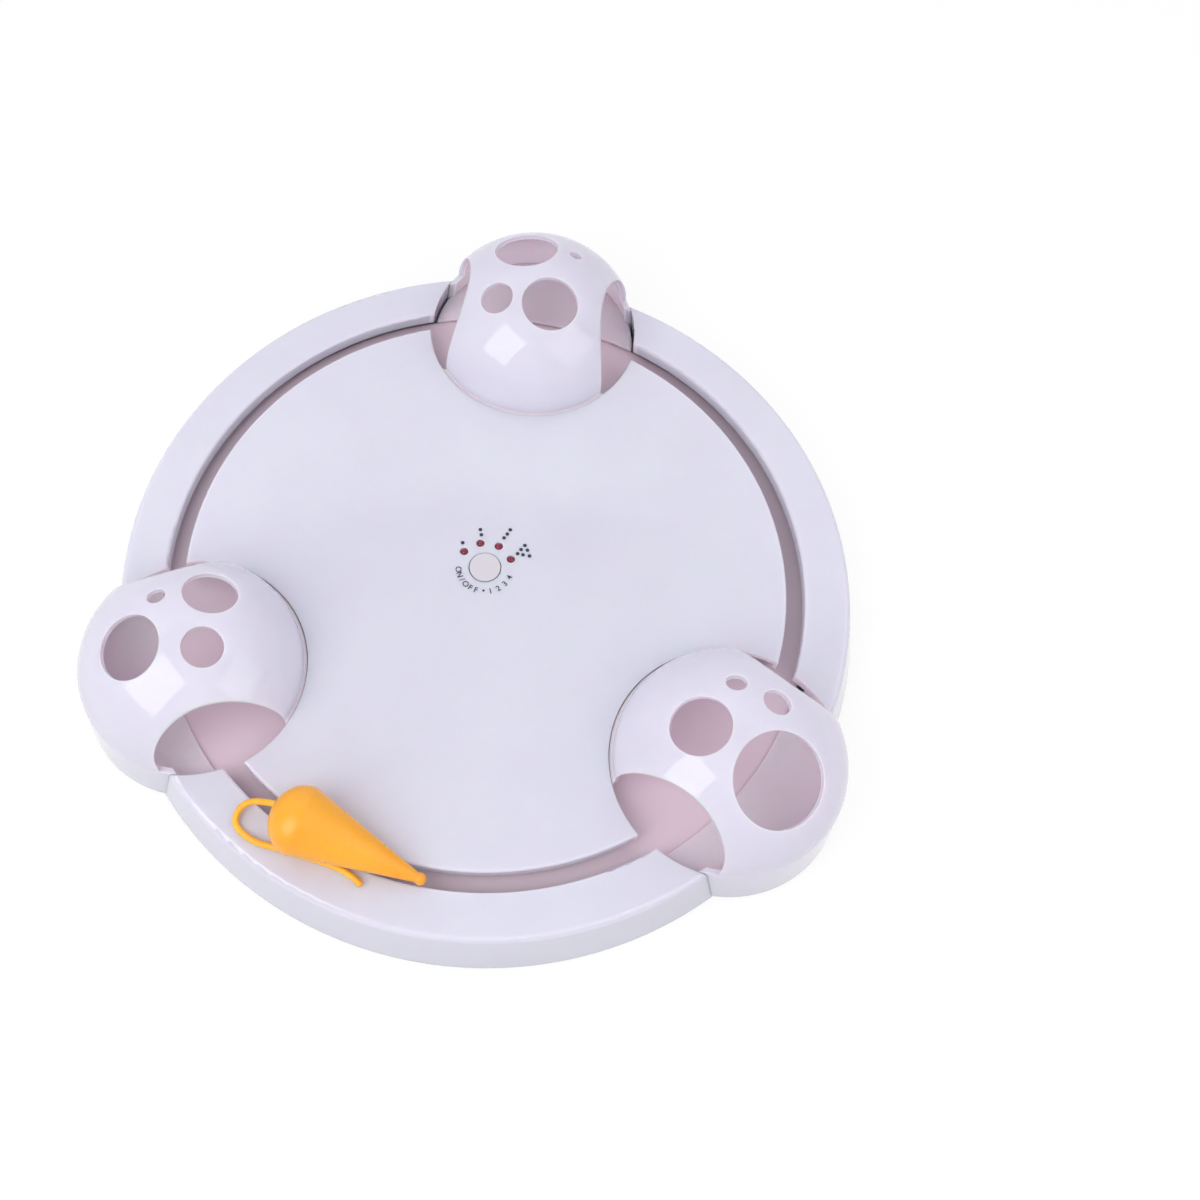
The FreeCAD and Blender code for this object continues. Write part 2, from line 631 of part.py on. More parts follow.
def make_base_plate():
    disc = cylinder("base_disc", BASE_RADIUS, "base_wall", (0, 0, "floor_gap"))
    walls = [disc]
    for side, angle in DOME_ANGLES.items():
        walls.append(cylinder("base_lobe_" + side, LOBE_RADIUS, "base_wall",
                              (*dome_point(angle, 0, 0), "floor_gap")))
    wall_high = "%s - (%s)" % (DECK_UNDER, BASE_TOP)
    walls.append(tube("drum", "drum_radius", "drum_radius - drum_wall", wall_high, (0, 0, BASE_TOP)))
    walls.append(tube("rail", "rail_place + rail_wall / 2", "rail_place - rail_wall / 2",
                      "web_low - run_gap - (%s)" % BASE_TOP, (0, 0, BASE_TOP)))
    bay = box("bay_outer", BAY_LONG + " + 2 * bay_wall", BAY_WIDE + " + 2 * bay_wall",
              "%s - case_gap - floor_gap" % DECK_UNDER,
              ("-(%s) / 2 - bay_wall" % BAY_LONG, "bay_front - (%s) - bay_wall" % BAY_WIDE, "floor_gap"))
    walls.append(common("bay_block", bay, cylinder("bay_limit", "drum_radius - drum_wall / 2", "deck_top",
                                                   (0, 0, 0))))
    holes = [box("bay_inner", BAY_LONG, BAY_WIDE, "deck_top",
                 ("-(%s) / 2" % BAY_LONG, "bay_front - (%s)" % BAY_WIDE, 0))]
    seats = DECK_BOLTS + RIM_BOLTS + DOME_BOLTS
    for index, place in enumerate(seats):
        tag = "base_seat_%d" % index
        walls.append(cylinder(tag, "screw_head + boss_wall", "seat_wall", (*place, BASE_TOP)))
        holes.append(cylinder(tag + "_pass", "screw_radius + screw_pass", "deck_top", (*place, 0)))
        holes.append(cylinder(tag + "_sink", "screw_head + screw_pass", HEAD_TOP, (*place, 0)))
    for name, places, top in (("board_stand", BOARD_BOLTS, "board_low"),
                              ("cover_stand", COVER_BOLTS, COVER_LOW),
                              ("clamp_stand", CLAMP_BOLTS, MOTOR_TOP)):
        for index, place in enumerate(places):
            boss, hole = small_boss("%s_%d" % (name, index), place, top)
            walls.append(boss)
            holes.append(hole)
    for index, place in enumerate(BOARD_RESTS):
        walls.append(cylinder("board_rest_%d" % index, "small_radius + boss_wall",
                              "board_low - (%s)" % BASE_TOP, (*place, BASE_TOP)))
    walls.append(tube("motor_cradle", "motor_radius + case_gap + bay_wall", "motor_radius + case_gap",
                      "cradle_high", (*MOTOR_AXIS, BASE_TOP)))
    for index in range(FEET):
        holes.append(cylinder("foot_seat_%d" % index, "foot_radius + screw_fit", "foot_sink",
                              (*around(FOOT_TURN + 360.0 / FEET * index, number("foot_place")), "floor_gap")))
    for tag, low, reach in (("front", "bay_front - small_seat", DOOR_BOLTS[0]),
                            ("rear", REAR_EDGE + " - tongue_long - case_gap", DOOR_BOLTS[1])):
        walls.append(box("tongue_roof_" + tag, "2 * tongue_half + 2 * bay_wall + 2 * case_gap",
                         "tongue_long + small_seat + bay_wall", "tongue_wall + bay_wall",
                         ("-tongue_half - bay_wall - case_gap", low + " - case_gap / 3", "floor_gap")))
        holes.append(box("tongue_room_" + tag, "2 * (tongue_half + case_gap)",
                         "tongue_long + small_seat + case_gap", "floor_gap + tongue_wall + case_gap",
                         ("-tongue_half - case_gap", low, 0)))
        boss = cylinder("door_boss_" + tag, "small_radius + boss_wall", "small_length",
                        (*reach, DOOR_SEAT + " + screw_fit"))
        walls.append(common("door_boss_limit_" + tag, boss, cylinder("door_boss_room_" + tag,
                            "drum_radius", "deck_top", (0, 0, 0))))
        holes.append(cylinder("door_boss_hole_" + tag, "small_radius + screw_fit", "small_length + screw_fit",
                              (*reach, DOOR_SEAT)))
    for side, y in ((-1, CELL_ROWS[0]), (1, CELL_ROWS[2])):
        holes.append(box("tab_slot_%d" % (side + 1), "contact_tab + 2 * case_gap", "tab_wide + 2 * case_gap",
                         "contact_wall + case_gap",
                         ("%d * ((%s) / 2 + contact_tab / 2 - case_gap) - contact_tab / 2 - case_gap"
                          % (side, BAY_LONG), "%f - tab_wide / 2 - case_gap" % y, "tab_low - case_gap / 2")))
    stands = []
    for tag, axis, radius, top in AXLES:
        stands.append(cylinder(tag + "_stand", radius + " + axle_boss", "%s - (%s)" % (top, BASE_TOP),
                               (*axis, BASE_TOP)))
        holes.append(cylinder(tag + "_axle_hole", radius, "deck_top", (*axis, AXLE_LOW)))
    window = cylinder("gear_window", OUTPUT_TIP + number("window_gap"), "web_low - (%s)" % BASE_TOP,
                      (*OUTPUT_AXIS, BASE_TOP))
    shell = cut("base_shell", fuse("base_walls", *walls), window)
    return cut("base_plate", fuse("base_solids", shell, *stands), *holes)


def skirt_radius(height):
    """Outer radius of the skirt at a height, as an expression."""
    return "(rim_radius + skirt_flare * (deck_top - (%s)) / (deck_top - floor_gap))" % height


def dome_skirt(height):
    """Outer radius of a dome's foot at a height, as an expression."""
    return "(dome_radius + dome_flare * (deck_top - (%s)) / (deck_top - floor_gap))" % height


def rim_end(name, place, lip_low):
    """A wall round a dome's foot that closes the hollow of the rim."""
    top = DECK_UNDER + " + deck_wall / 2"
    low = FLANGE_TOP + " - base_wall / 2"
    edge = "ring_radius + flange_in + case_gap"
    hollow = [(SLOT_OUTER + " + lip_wall / 2", lip_low), (SLOT_OUTER + " + lip_wall / 2", top),
              (skirt_radius(top) + " - skirt_wall / 2", top),
              (skirt_radius(low) + " - skirt_wall / 2", low), (edge, low), (edge, lip_low)]
    foot = cone(name + "_foot", dome_skirt("0") + " + case_gap + end_wall",
                "dome_radius + case_gap + end_wall", "deck_top", (*place, 0))
    return common(name, revolved(name + "_hollow", hollow), foot)


def make_outer_rim():
    lip_low = DECK_UNDER + " - lip_drop"
    section = [(SLOT_OUTER, lip_low), (SLOT_OUTER + " + lip_wall", lip_low),
               (SLOT_OUTER + " + lip_wall", DECK_UNDER),
               (skirt_radius(DECK_UNDER) + " - skirt_wall", DECK_UNDER),
               (skirt_radius(FLANGE_TOP) + " - skirt_wall", FLANGE_TOP),
               ("ring_radius + flange_in", FLANGE_TOP), ("ring_radius + flange_in", BASE_TOP),
               (skirt_radius(BASE_TOP) + " - skirt_wall", BASE_TOP),
               (skirt_radius("floor_gap") + " - skirt_wall", "floor_gap"),
               (skirt_radius("floor_gap"), "floor_gap"), ("rim_radius", "deck_top"),
               (SLOT_OUTER, "deck_top")]
    ring = rounded("rim_edges", revolved("rim_ring", section), number("rim_round"), top_edge("rim_radius"))
    solids = [rounded("rim_slot_edge", ring, number("slot_round"), top_edge(SLOT_OUTER))]
    holes = []
    for index, place in enumerate(RIM_BOLTS):
        boss, hole = case_boss("rim_boss_%d" % index, place, DECK_UNDER)
        solids.append(boss)
        holes.append(hole)
        holes.append(cylinder("rim_seat_room_%d" % index, "screw_head + boss_wall + case_gap", "seat_wall",
                              (*place, BASE_TOP)))
    for side, angle in DOME_ANGLES.items():
        place = dome_point(angle, 0, 0)
        solids.append(rim_end("rim_end_" + side, place, lip_low))
        holes.append(cut("rim_cut_" + side,
                         cone("rim_cone_" + side, dome_skirt("0") + " + case_gap", "dome_radius + case_gap",
                              "deck_top", (*place, 0)),
                         cylinder("rim_keep_" + side, "ring_radius + flange_out", FLANGE_TOP, (0, 0, 0))))
        holes.append(cylinder("rim_top_cut_" + side, "dome_radius + case_gap", "deck_top",
                              (*place, "deck_top")))
    return cut("rim_cut", fuse("rim_solids", *solids), *holes)


def rib(name, angle, start, end, width, low, high):
    """An upright wall that runs outward along a direction from the axis."""
    thing = box(name, "%s - (%s)" % (end, start), width, "%s - (%s)" % (high, low), (0, 0, low))
    turn = math.radians(angle)
    reach = number(start)
    half = number(width) / 2
    base = Vector(reach * math.cos(turn) + half * math.sin(turn),
                  reach * math.sin(turn) - half * math.cos(turn), number(low))
    thing.setExpression("Placement.Base.z", None)
    thing.Placement = Placement(base, Rotation(Vector(0, 0, 1), angle))
    return thing


def make_center_deck():
    lip_low = DECK_UNDER + " - lip_drop"
    section = [(0, DECK_UNDER), ("deck_radius - lip_wall", DECK_UNDER), ("deck_radius - lip_wall", lip_low),
               ("deck_radius", lip_low), ("deck_radius", "deck_top"), (0, "deck_top")]
    solids = [rounded("deck_slot_edge", revolved("deck_disc", section), number("slot_round"),
                      top_edge("deck_radius"))]
    holes = [cylinder("button_hole", "button_radius + button_gap", "deck_wall",
                      (0, "button_place", DECK_UNDER))]
    for index, place in enumerate(LAMPS):
        holes.append(cylinder("lamp_hole_%d" % index, "lamp_radius + lamp_gap", "deck_wall",
                              (*place, DECK_UNDER)))
    for index, place in enumerate(DECK_BOLTS):
        boss, hole = case_boss("deck_boss_%d" % index, place, DECK_UNDER)
        solids.append(boss)
        holes.append(hole)
    for side, angle in DOME_ANGLES.items():
        for turn in (-RIB_SPREAD, 0.0, RIB_SPREAD):
            solids.append(rib("deck_rib_%s_%d" % (side, turn + RIB_SPREAD), angle + 60.0 + turn,
                              "drum_radius + run_gap", "deck_radius - lip_wall", "lip_wall",
                              DECK_UNDER + " - lip_drop", DECK_UNDER))
        holes.append(cylinder("deck_cut_" + side, "dome_radius + dome_band + case_gap", "deck_top",
                              (*dome_point(angle, 0, 0), "lip_drop")))
    lug_seat = LUG_LOW + " + " + LUG_WALL
    lug_bosses = []
    for side, angle in DOME_ANGLES.items():
        for index, place in enumerate(lug_places(angle)):
            tag = "lug_boss_%s_%d" % (side, index)
            lug_bosses.append(cylinder(tag, "small_radius + boss_wall", "%s - (%s)" % (DECK_UNDER, lug_seat),
                                       (*place, lug_seat)))
            holes.append(cylinder(tag + "_hole", "small_radius + screw_fit", "small_length + screw_fit",
                                  (*place, LUG_LOW)))
    return cut("deck_cut", fuse("deck_solids", *(solids + lug_bosses)), *holes)


# Dome covers, each built about its own centre with +X pointing outward

def half_shell(name, radius, height, low_angle):
    """The part of an egg-shaped body above a latitude."""
    thing = doc.addObject("Part::Ellipsoid", name)
    bind(thing, "Radius1", height)
    bind(thing, "Radius2", radius)
    bind(thing, "Radius3", radius)
    thing.Angle1 = low_angle
    bind(thing, "Placement.Base.z", "deck_top")
    return thing


def dome_normal(turn, climb):
    """A point on the outer dome surface and the direction straight out of it."""
    around_turn = math.radians(turn)
    latitude = math.radians(climb)
    flat = Vector(math.cos(around_turn), math.sin(around_turn), 0)
    radius, height = number("dome_radius"), number("dome_height")
    point = flat * (radius * math.cos(latitude)) + Vector(0, 0, height * math.sin(latitude))
    normal = flat * (math.cos(latitude) / radius) + Vector(0, 0, math.sin(latitude) / height)
    return point + Vector(0, 0, number("deck_top")), normal.normalize()


def dome_hole(name, turn, climb, radius):
    """A round cutter square to the dome surface."""
    point, normal = dome_normal(turn, climb)
    thing = doc.addObject("Part::Cylinder", name)
    thing.Radius = radius
    thing.Height = 4 * number("dome_wall") + radius
    start = point - normal * (2 * number("dome_wall") + radius / 2)
    thing.Placement = Placement(start, Rotation(Vector(0, 0, 1), normal))
    return thing


def quarter(middle, low, reach, high):
    """A quarter of an upright ellipse, from its side to its top; reach is negative for the inner side."""
    turn = math.copysign(math.sqrt(0.5), reach)
    arc = Part.Arc(Vector(math.copysign(1.0, reach), 0, 0), Vector(turn, 0, abs(turn)), Vector(0, 0, 1))
    stretch = FreeCAD.Matrix()
    stretch.scale(abs(reach), 1.0, high)
    edge = arc.toShape().transformGeometry(stretch)
    edge.translate(Vector(middle, 0, low))
    return edge


def archway(name):
    """The passage through a dome along the track: round inward, with a steep outer side."""
    middle = -number("arch_apex")
    inner, outer = -number("arch_reach"), number("arch_outer")
    low, top = number("deck_top"), number("deck_top + arch_height")
    foot = number("deck_top + arch_rise")
    bottom = low - number("deck_wall")
    wide = 2 * number("dome_radius")
    corners = [Vector(outer, 0, foot), Vector(outer, 0, bottom),
               Vector(inner, 0, bottom), Vector(inner, 0, low)]
    edges = [quarter(middle, low, inner - middle, top - low),
             quarter(middle, foot, outer - middle, top - foot)]
    edges += [Part.LineSegment(a, b).toShape() for a, b in zip(corners, corners[1:])]
    face = Part.Face(Part.Wire(edges))
    face.translate(Vector(0, -wide, 0))
    return solid(name, face.extrude(Vector(0, 2 * wide, 0)))


def make_dome(side):
    tag = "dome_" + side + "_"
    shell = cut(tag + "shell", half_shell(tag + "outside", "dome_radius", "dome_height", 0.0),
                half_shell(tag + "inside", "dome_radius - dome_wall", "dome_height - dome_wall", -90.0),
                archway(tag + "archway"),
                *(dome_hole(tag + "hole_%d" % index, *hole) for index, hole in enumerate(DOME_HOLES[side])))
    foot_low = LUG_LOW
    foot = tube(tag + "foot", "dome_radius", "dome_radius - dome_wall", "deck_top - (%s)" % foot_low,
                (0, 0, foot_low))
    band_low = DECK_UNDER + " - lip_drop"
    band = tube(tag + "band", "dome_radius + dome_band", "dome_radius - dome_wall",
                "deck_top - band_drop - (%s)" % band_low, (0, 0, band_low))
    inside = box(tag + "inner_side", "dome_radius", "4 * dome_radius", "deck_top",
                 ("-arch_reach - dome_radius", "-2 * dome_radius", 0))
    inner_foot = common(tag + "inner_foot", fuse(tag + "foot_walls", foot, band), inside)
    skirt = cut(tag + "skirt",
                cone(tag + "skirt_outside", "dome_radius + dome_flare", "dome_radius", "deck_top - floor_gap",
                     (0, 0, "floor_gap")),
                cone(tag + "skirt_inside", "dome_radius + dome_flare - dome_wall", "dome_radius - dome_wall",
                     "deck_top - floor_gap", (0, 0, "floor_gap")),
                cylinder(tag + "case_room", BASE_RADIUS + " + case_gap", FLANGE_TOP + " + case_gap",
                         ("-dome_place", 0, 0)),
                cylinder(tag + "track_room", "rim_radius - rim_round", "deck_top", ("-dome_place", 0, 0)))
    tray = cut(tag + "tray", cylinder(tag + "tray_disc", "dome_radius", "tray_wall", (0, 0, TRAY_LOW)),
               cylinder(tag + "ring_room", "ring_radius - tray_lap", "deck_top", ("-dome_place", 0, 0)))
    parts = [shell, inner_foot, skirt, tray]
    holes = []
    reach = number("dome_radius") + LUG_REACH
    for index, turn in enumerate((180.0 - LUG_TURN, 180.0 + LUG_TURN)):
        place = around(turn, reach)
        parts.append(rib(tag + "lug_arm_%d" % index, turn, "dome_radius - dome_wall / 2",
                         "dome_radius + %.1f" % LUG_REACH, "2 * (small_head + boss_wall)",
                         LUG_LOW, LUG_LOW + " + " + LUG_WALL))
        parts.append(cylinder(tag + "lug_%d" % index, "small_head + boss_wall", LUG_WALL, (*place, LUG_LOW)))
        holes.append(cylinder(tag + "lug_hole_%d" % index, "small_radius + screw_pass", "deck_top",
                              (*place, 0)))
    for index, sign in enumerate((-1, 1)):
        place = (BOLT_OUT, sign * BOLT_ACROSS)
        boss, hole = case_boss(tag + "boss_%d" % index, place, TRAY_MIDDLE, "dome_screw")
        turn = math.degrees(math.atan2(place[1], place[0]))
        parts.append(boss)
        parts.append(rib(tag + "boss_rib_%d" % index, turn, "%.2f" % math.hypot(*place),
                         "dome_radius", "lip_wall", SEAT_TOP, TRAY_MIDDLE))
        holes.append(hole)
    dome = cut("dome_" + side, fuse(tag + "walls", *parts), *holes)
    angle = DOME_ANGLES[side]
    dome.Placement = Placement(Vector(*dome_point(angle, 0, 0), 0), Rotation(Vector(0, 0, 1), angle))
    return dome


# Turntable and mouse

def make_turntable():
    sleeve_in = "drum_radius + sleeve_gap"
    sleeve_out = sleeve_in + " + sleeve_wall"
    web_top = "web_low + web_wall"
    section = [(sleeve_in, "web_low"), (sleeve_out, "web_low"), (sleeve_out, "gear_low"),
               ("gear_rim", "gear_low"), ("gear_rim", "web_low"),
               ("ring_radius - sleeve_wall", "web_low"), ("ring_radius - sleeve_wall", "web_low - ring_drop"),
               ("ring_radius", "web_low - ring_drop"), ("ring_radius", web_top),
               (sleeve_out, web_top), (sleeve_out, "sleeve_top"), (sleeve_in, "sleeve_top")]
    play = -number("mesh_gap") * DRIVE_MODULE
    face = gear_face(RING_TEETH, DRIVE_MODULE, RING_PHASE, TOOTH_FOOT * DRIVE_MODULE,
                     TOOTH_TOP * DRIVE_MODULE, play)
    low = number("gear_low - web_wall")
    spaces = solid("ring_spaces", face.extrude(Vector(0, 0, number("web_low") - low)))
    spaces.Placement = Placement(Vector(0, 0, low), Rotation())
    boss = cylinder("post_boss_solid", "post_boss", "post_boss_high + web_wall / 2",
                    (*POST_AXIS, "web_low + web_wall / 2"))
    hole = cylinder("post_hole", "post_radius", "deck_top", (*POST_AXIS, "web_low"))
    return cut("turntable", fuse("turntable_solids", revolved("turntable_disc", section), boss), spaces, hole)


def mouse_place():
    """Placement of the mouse: +X from its widest place to its nose."""
    heading = number("post_angle") + 90.0 + number("mouse_toe")
    back_high = number("deck_top") + number("mouse_gap") + number("mouse_half") * number("mouse_squash")
    nose_high = number("deck_top + mouse_gap + nose_lift + nose_radius")
    dip = math.degrees(math.asin((back_high - nose_high) / number("mouse_length")))
    x, y = step(step(POST_AXIS, number("mouse_ahead"), heading), number("mouse_aside"), heading - 90.0)
    turn = Rotation(Vector(0, 0, 1), heading).multiply(Rotation(Vector(0, 1, 0), dip))
    return Placement(Vector(x, y, back_high), turn)


def mouse_form(inset):
    """A cone with a round back, flattened in height, lying along +X."""
    cap = number("mouse_cap") - inset
    half = number("mouse_half") - inset
    tip = max(number("mouse_tip") - inset, LEAST_TIP * number("mouse_tip"))
    length = number("mouse_length") - 2 * inset
    corners = [Vector(0, 0, half), Vector(length, 0, tip), Vector(length, 0, 0), Vector(-cap, 0, 0)]
    edges = [quarter(0, 0, -cap, half)]
    edges += [Part.LineSegment(a, b).toShape() for a, b in zip(corners, corners[1:])]
    form = Part.Face(Part.Wire(edges)).revolve(Vector(), Vector(1, 0, 0), 360)
    squash = FreeCAD.Matrix()
    squash.scale(1.0, 1.0, number("mouse_squash"))
    form = form.transformGeometry(squash)
    form.Placement = mouse_place()
    return form


def make_mouse():
    ball = Part.makeSphere(number("nose_radius"))
    ball.Placement = mouse_place().multiply(Placement(Vector(number("mouse_length + nose_out"), 0, 0), Rotation()))
    outside = solid("mouse_outside", mouse_form(0.0))
    floor = cylinder("mouse_floor", "3 * mouse_half", "mouse_half", (*POST_AXIS, FLAT_LOW + " - mouse_half"))
    plate_room = cylinder("mouse_plate_room", "socket_plate + run_fit", "mouse_half * mouse_squash",
                          (*POST_AXIS, FLAT_LOW))
    cavity = solid("mouse_cavity", mouse_form(number("mouse_wall")))
    body = fuse("mouse_solids", cut("mouse_shell", outside, cavity), solid("mouse_nose", ball))
    body = cut("mouse", body, floor, plate_room)
    plate = common("mouse_plate", solid("mouse_plate_form", mouse_form(0.0)),
                   cylinder("mouse_plate_disc", "socket_plate", "plate_high", (*POST_AXIS, FLAT_LOW)))
    boss = cylinder("mouse_socket", "socket_boss", "socket_high - plate_high / 2",
                    (*POST_AXIS, FLAT_LOW + " + plate_high / 2"))
    hole = cylinder("mouse_socket_hole", "post_radius", "socket_high - socket_roof", (*POST_AXIS, FLAT_LOW))
    return body, cut("mouse_base_plug", fuse("mouse_base_solids", plate, boss), hole)


def make_drive_post():
    post = cylinder("post_pin", "post_radius", FLAT_LOW + " + socket_high - socket_roof - web_low",
                    (*POST_AXIS, "web_low"))
    hole = cylinder("post_pin_hole", "small_radius + screw_fit", "small_length + screw_fit",
                    (*POST_AXIS, "web_low"))
    return cut("post", post, hole)


def make_tail():
    """The soft tail: out of the mouse's back, down to the rim and along beside the mouse."""
    x, y = POST_AXIS
    lie = number("deck_top + tail_radius + tail_lift")
    route = [(x - 6.6, y + 3.7, lie + 6.5), (x - 9.8, y + 4.5, lie + 6.5), (x - 20.1, y + 4.7, lie + 1.5),
             (x - 22.7, y - 2.8, lie), (x - 14.6, y - 7.5, lie), (x - 6.1, y - 7.8, lie),
             (x + 2.2, y - 8.9, lie), (x + 10.6, y - 9.7, lie), (x + 18.7, y - 11.8, lie),
             (x + 22.1, y - 14.4, lie)]
    return cord("tail", route, number("tail_radius"))


# Drive

def wheel_on_axle(name, axis, radius, wheels, hub_low, hub_radius):
    """Toothed wheels on one hub, bored for their axle."""
    hub = cylinder(name + "_hub", hub_radius, "%s - gear_play - (%s)" % (COVER_LOW, hub_low), (*axis, hub_low))
    bore = cylinder(name + "_bore", radius + " + run_fit", "deck_top", (*axis, 0))
    return cut(name, fuse(name + "_wheels", hub, *wheels), bore)


def make_gears():
    drive_low = number("gear_low + gear_play")
    drive_high = number("web_low - 2 * gear_play") - drive_low
    middle_high = number("web_wall")
    fast_low = number(FAST_LOW)
    fast_high = number("web_wall - gear_play")
    output = wheel_on_axle("output", OUTPUT_AXIS, "axle_radius",
                           [spur("output_wheel", OUTPUT_TEETH, DRIVE_MODULE, OUTPUT_PHASE, OUTPUT_AXIS,
                                 drive_low, drive_high)], "gear_low + gear_play", "axle_radius + axle_boss")
    second = wheel_on_axle("second", SECOND_AXIS, "axle_radius",
                           [spur("second_pinion", SECOND_PINION, DRIVE_MODULE, SECOND_PHASE, SECOND_AXIS,
                                 drive_low, number("web_low") - drive_low),
                            spur("second_wheel", SECOND_WHEEL, MIDDLE_MODULE, SECOND_PHASE, SECOND_AXIS,
                                 number("web_low"), middle_high)],
                           "gear_low + gear_play", "axle_radius + second_hub")
    first = wheel_on_axle("first", FIRST_AXIS, "shaft_radius",
                          [spur("first_pinion", FIRST_PINION, MIDDLE_MODULE, FIRST_PHASE, FIRST_AXIS,
                                number("web_low"), fast_low - number("web_low")),
                           spur("first_wheel", FIRST_WHEEL, FAST_MODULE, FIRST_PHASE, FIRST_AXIS,
                                fast_low, fast_high)], "web_low", "shaft_radius + first_hub")
    pinion = cut("motor_pinion_cut",
                 spur("pinion_wheel", MOTOR_TEETH, FAST_MODULE, MOTOR_PHASE, MOTOR_AXIS,
                      fast_low - number("end_play"), fast_high + number("run_gap")),
                 cylinder("pinion_bore", "shaft_radius", "deck_top", (*MOTOR_AXIS, 0)))
    return output, second, first, pinion


def make_motor():
    can = cylinder("motor_body", "motor_radius", "motor_high", (*MOTOR_AXIS, BASE_TOP))
    nose = cylinder("motor_nose", "3 * shaft_radius", "motor_nose_high", (*MOTOR_AXIS, MOTOR_TOP))
    bore = cylinder("motor_bore", "shaft_radius + run_fit", "motor_high", (*MOTOR_AXIS, SHAFT_FLOOR))
    shaft_low = SHAFT_FLOOR + " + end_play"
    shaft = cylinder("motor_pin", "shaft_radius", "%s + web_wall + run_gap - (%s)" % (FAST_LOW, shaft_low),
                     (*MOTOR_AXIS, shaft_low))
    return cut("motor", fuse("motor_solids", can, nose), bore), shaft


def make_motor_clamp():
    y = MOTOR_AXIS[1]
    reach = CLAMP_REACH + number("clamp_wide") / 2
    strip = padded("clamp_strip", [(CLAMP_X - number("clamp_wide") / 2, y - reach),
                                   (CLAMP_X + number("clamp_wide") / 2, y - reach),
                                   (CLAMP_X + number("clamp_wide") / 2, y + reach),
                                   (CLAMP_X - number("clamp_wide") / 2, y + reach)], MOTOR_TOP, "clamp_wall")
    holes = [cylinder("clamp_hole_%d" % index, "small_radius + screw_pass", "deck_top", (*place, 0))
             for index, place in enumerate(CLAMP_BOLTS)]
    return cut("clamp", strip, *holes)


def make_gearbox_cover():
    plate = padded("cover_outline", [(-2, 18), (10, 17), (48, 17), (52, 27), (46, 39), (36, 48), (24, 56),
                                     (14, 59), (-2, 50)], COVER_LOW, "cover_wall")
    holes = [cylinder("cover_hole_%d" % index, "small_radius + screw_pass", "deck_top", (*place, 0))
             for index, place in enumerate(COVER_BOLTS)]
    for tag, axis, radius, top in AXLES:
        holes.append(cylinder("cover_axle_hole_" + tag, radius, "deck_top", (*axis, 0)))
    return cut("cover", plate, *holes)


def make_axle(tag, axis, radius):
    return cylinder(tag + "_pin", radius, "%s + cover_wall - (%s)" % (COVER_LOW, AXLE_LOW), (*axis, AXLE_LOW))


# Control

def make_board():
    board = box("board", "2 * board_half", "board_back - board_front", "board_wall",
                ("-board_half", "board_front", "board_low"))
    holes = [cylinder("board_hole_%d" % index, "small_radius + screw_pass", "deck_top", (*place, 0))
             for index, place in enumerate(BOARD_BOLTS)]
    return cut("board_cut", board, *holes)


def make_switch():
    body = box("switch_box", "switch_side", "switch_side", "switch_high",
               ("-switch_side / 2", "button_place - switch_side / 2", BOARD_TOP))
    room = cylinder("plunger_room", "plunger_radius + run_fit", "deck_top",
                    (0, "button_place", PLUNGER_LOW + " - button_travel - end_play"))
    plunger = cylinder("plunger", "plunger_radius", "%s - (%s)" % (STEM_LOW, PLUNGER_LOW),
                       (0, "button_place", PLUNGER_LOW))
    return cut("switch", body, room), plunger


def make_button():
    flange_top = DECK_UNDER + " - flange_gap"
    stem, stem_top = "plunger_radius + stem_wall", STEM_LOW + " + stem_high"
    flange = "button_radius + button_flange"
    top = "deck_top + button_proud"
    button = revolved("button", [(0, STEM_LOW), (stem, STEM_LOW), (stem, stem_top), (flange, stem_top),
                                 (flange, flange_top), ("button_radius", flange_top),
                                 ("button_radius", top), (0, top)])
    button.Placement = Placement(Vector(0, number("button_place"), 0), Rotation())
    return button


def make_lamp(index):
    tag = "lamp_%d_" % index
    x, y = LAMPS[index]
    low = BOARD_TOP + " + lamp_stand"
    top = "deck_top + lamp_proud - lamp_radius"
    parts = [cylinder(tag + "body", "lamp_radius", "%s - (%s)" % (top, low), (x, y, low)),
             primitive("Sphere", tag + "lens", (x, y, top), Radius="lamp_radius"),
             cylinder(tag + "flange", "lamp_radius + lamp_flange", "lamp_flange_high", (x, y, low))]
    for side in (-1, 1):
        parts.append(box(tag + "leg_%d" % (side + 1), LEG_SIDE, LEG_SIDE, "lamp_stand",
                         (x + side * LEG_SPREAD - LEG_SIDE / 2, y - LEG_SIDE / 2, BOARD_TOP)))
    return fuse(tag + "solid", *parts)


def make_chip():
    long_side, short_side, high = 9.0, 3.9, 1.4
    lift = number("board_low + board_wall") + 0.2
    leg, leg_high, leg_out, first, pitch = 0.4, 0.5, 1.0, 0.5, 1.27
    x, y = 7.5, -4.6
    parts = [box("chip_body", long_side, short_side, high, (x, y, lift))]
    for index in range(7):
        parts.append(box("chip_leg_%d" % index, leg, short_side + 2 * leg_out, leg_high,
                         (x + first + index * pitch, y - leg_out, BOARD_TOP)))
    return fuse("chip", *parts)


# Power

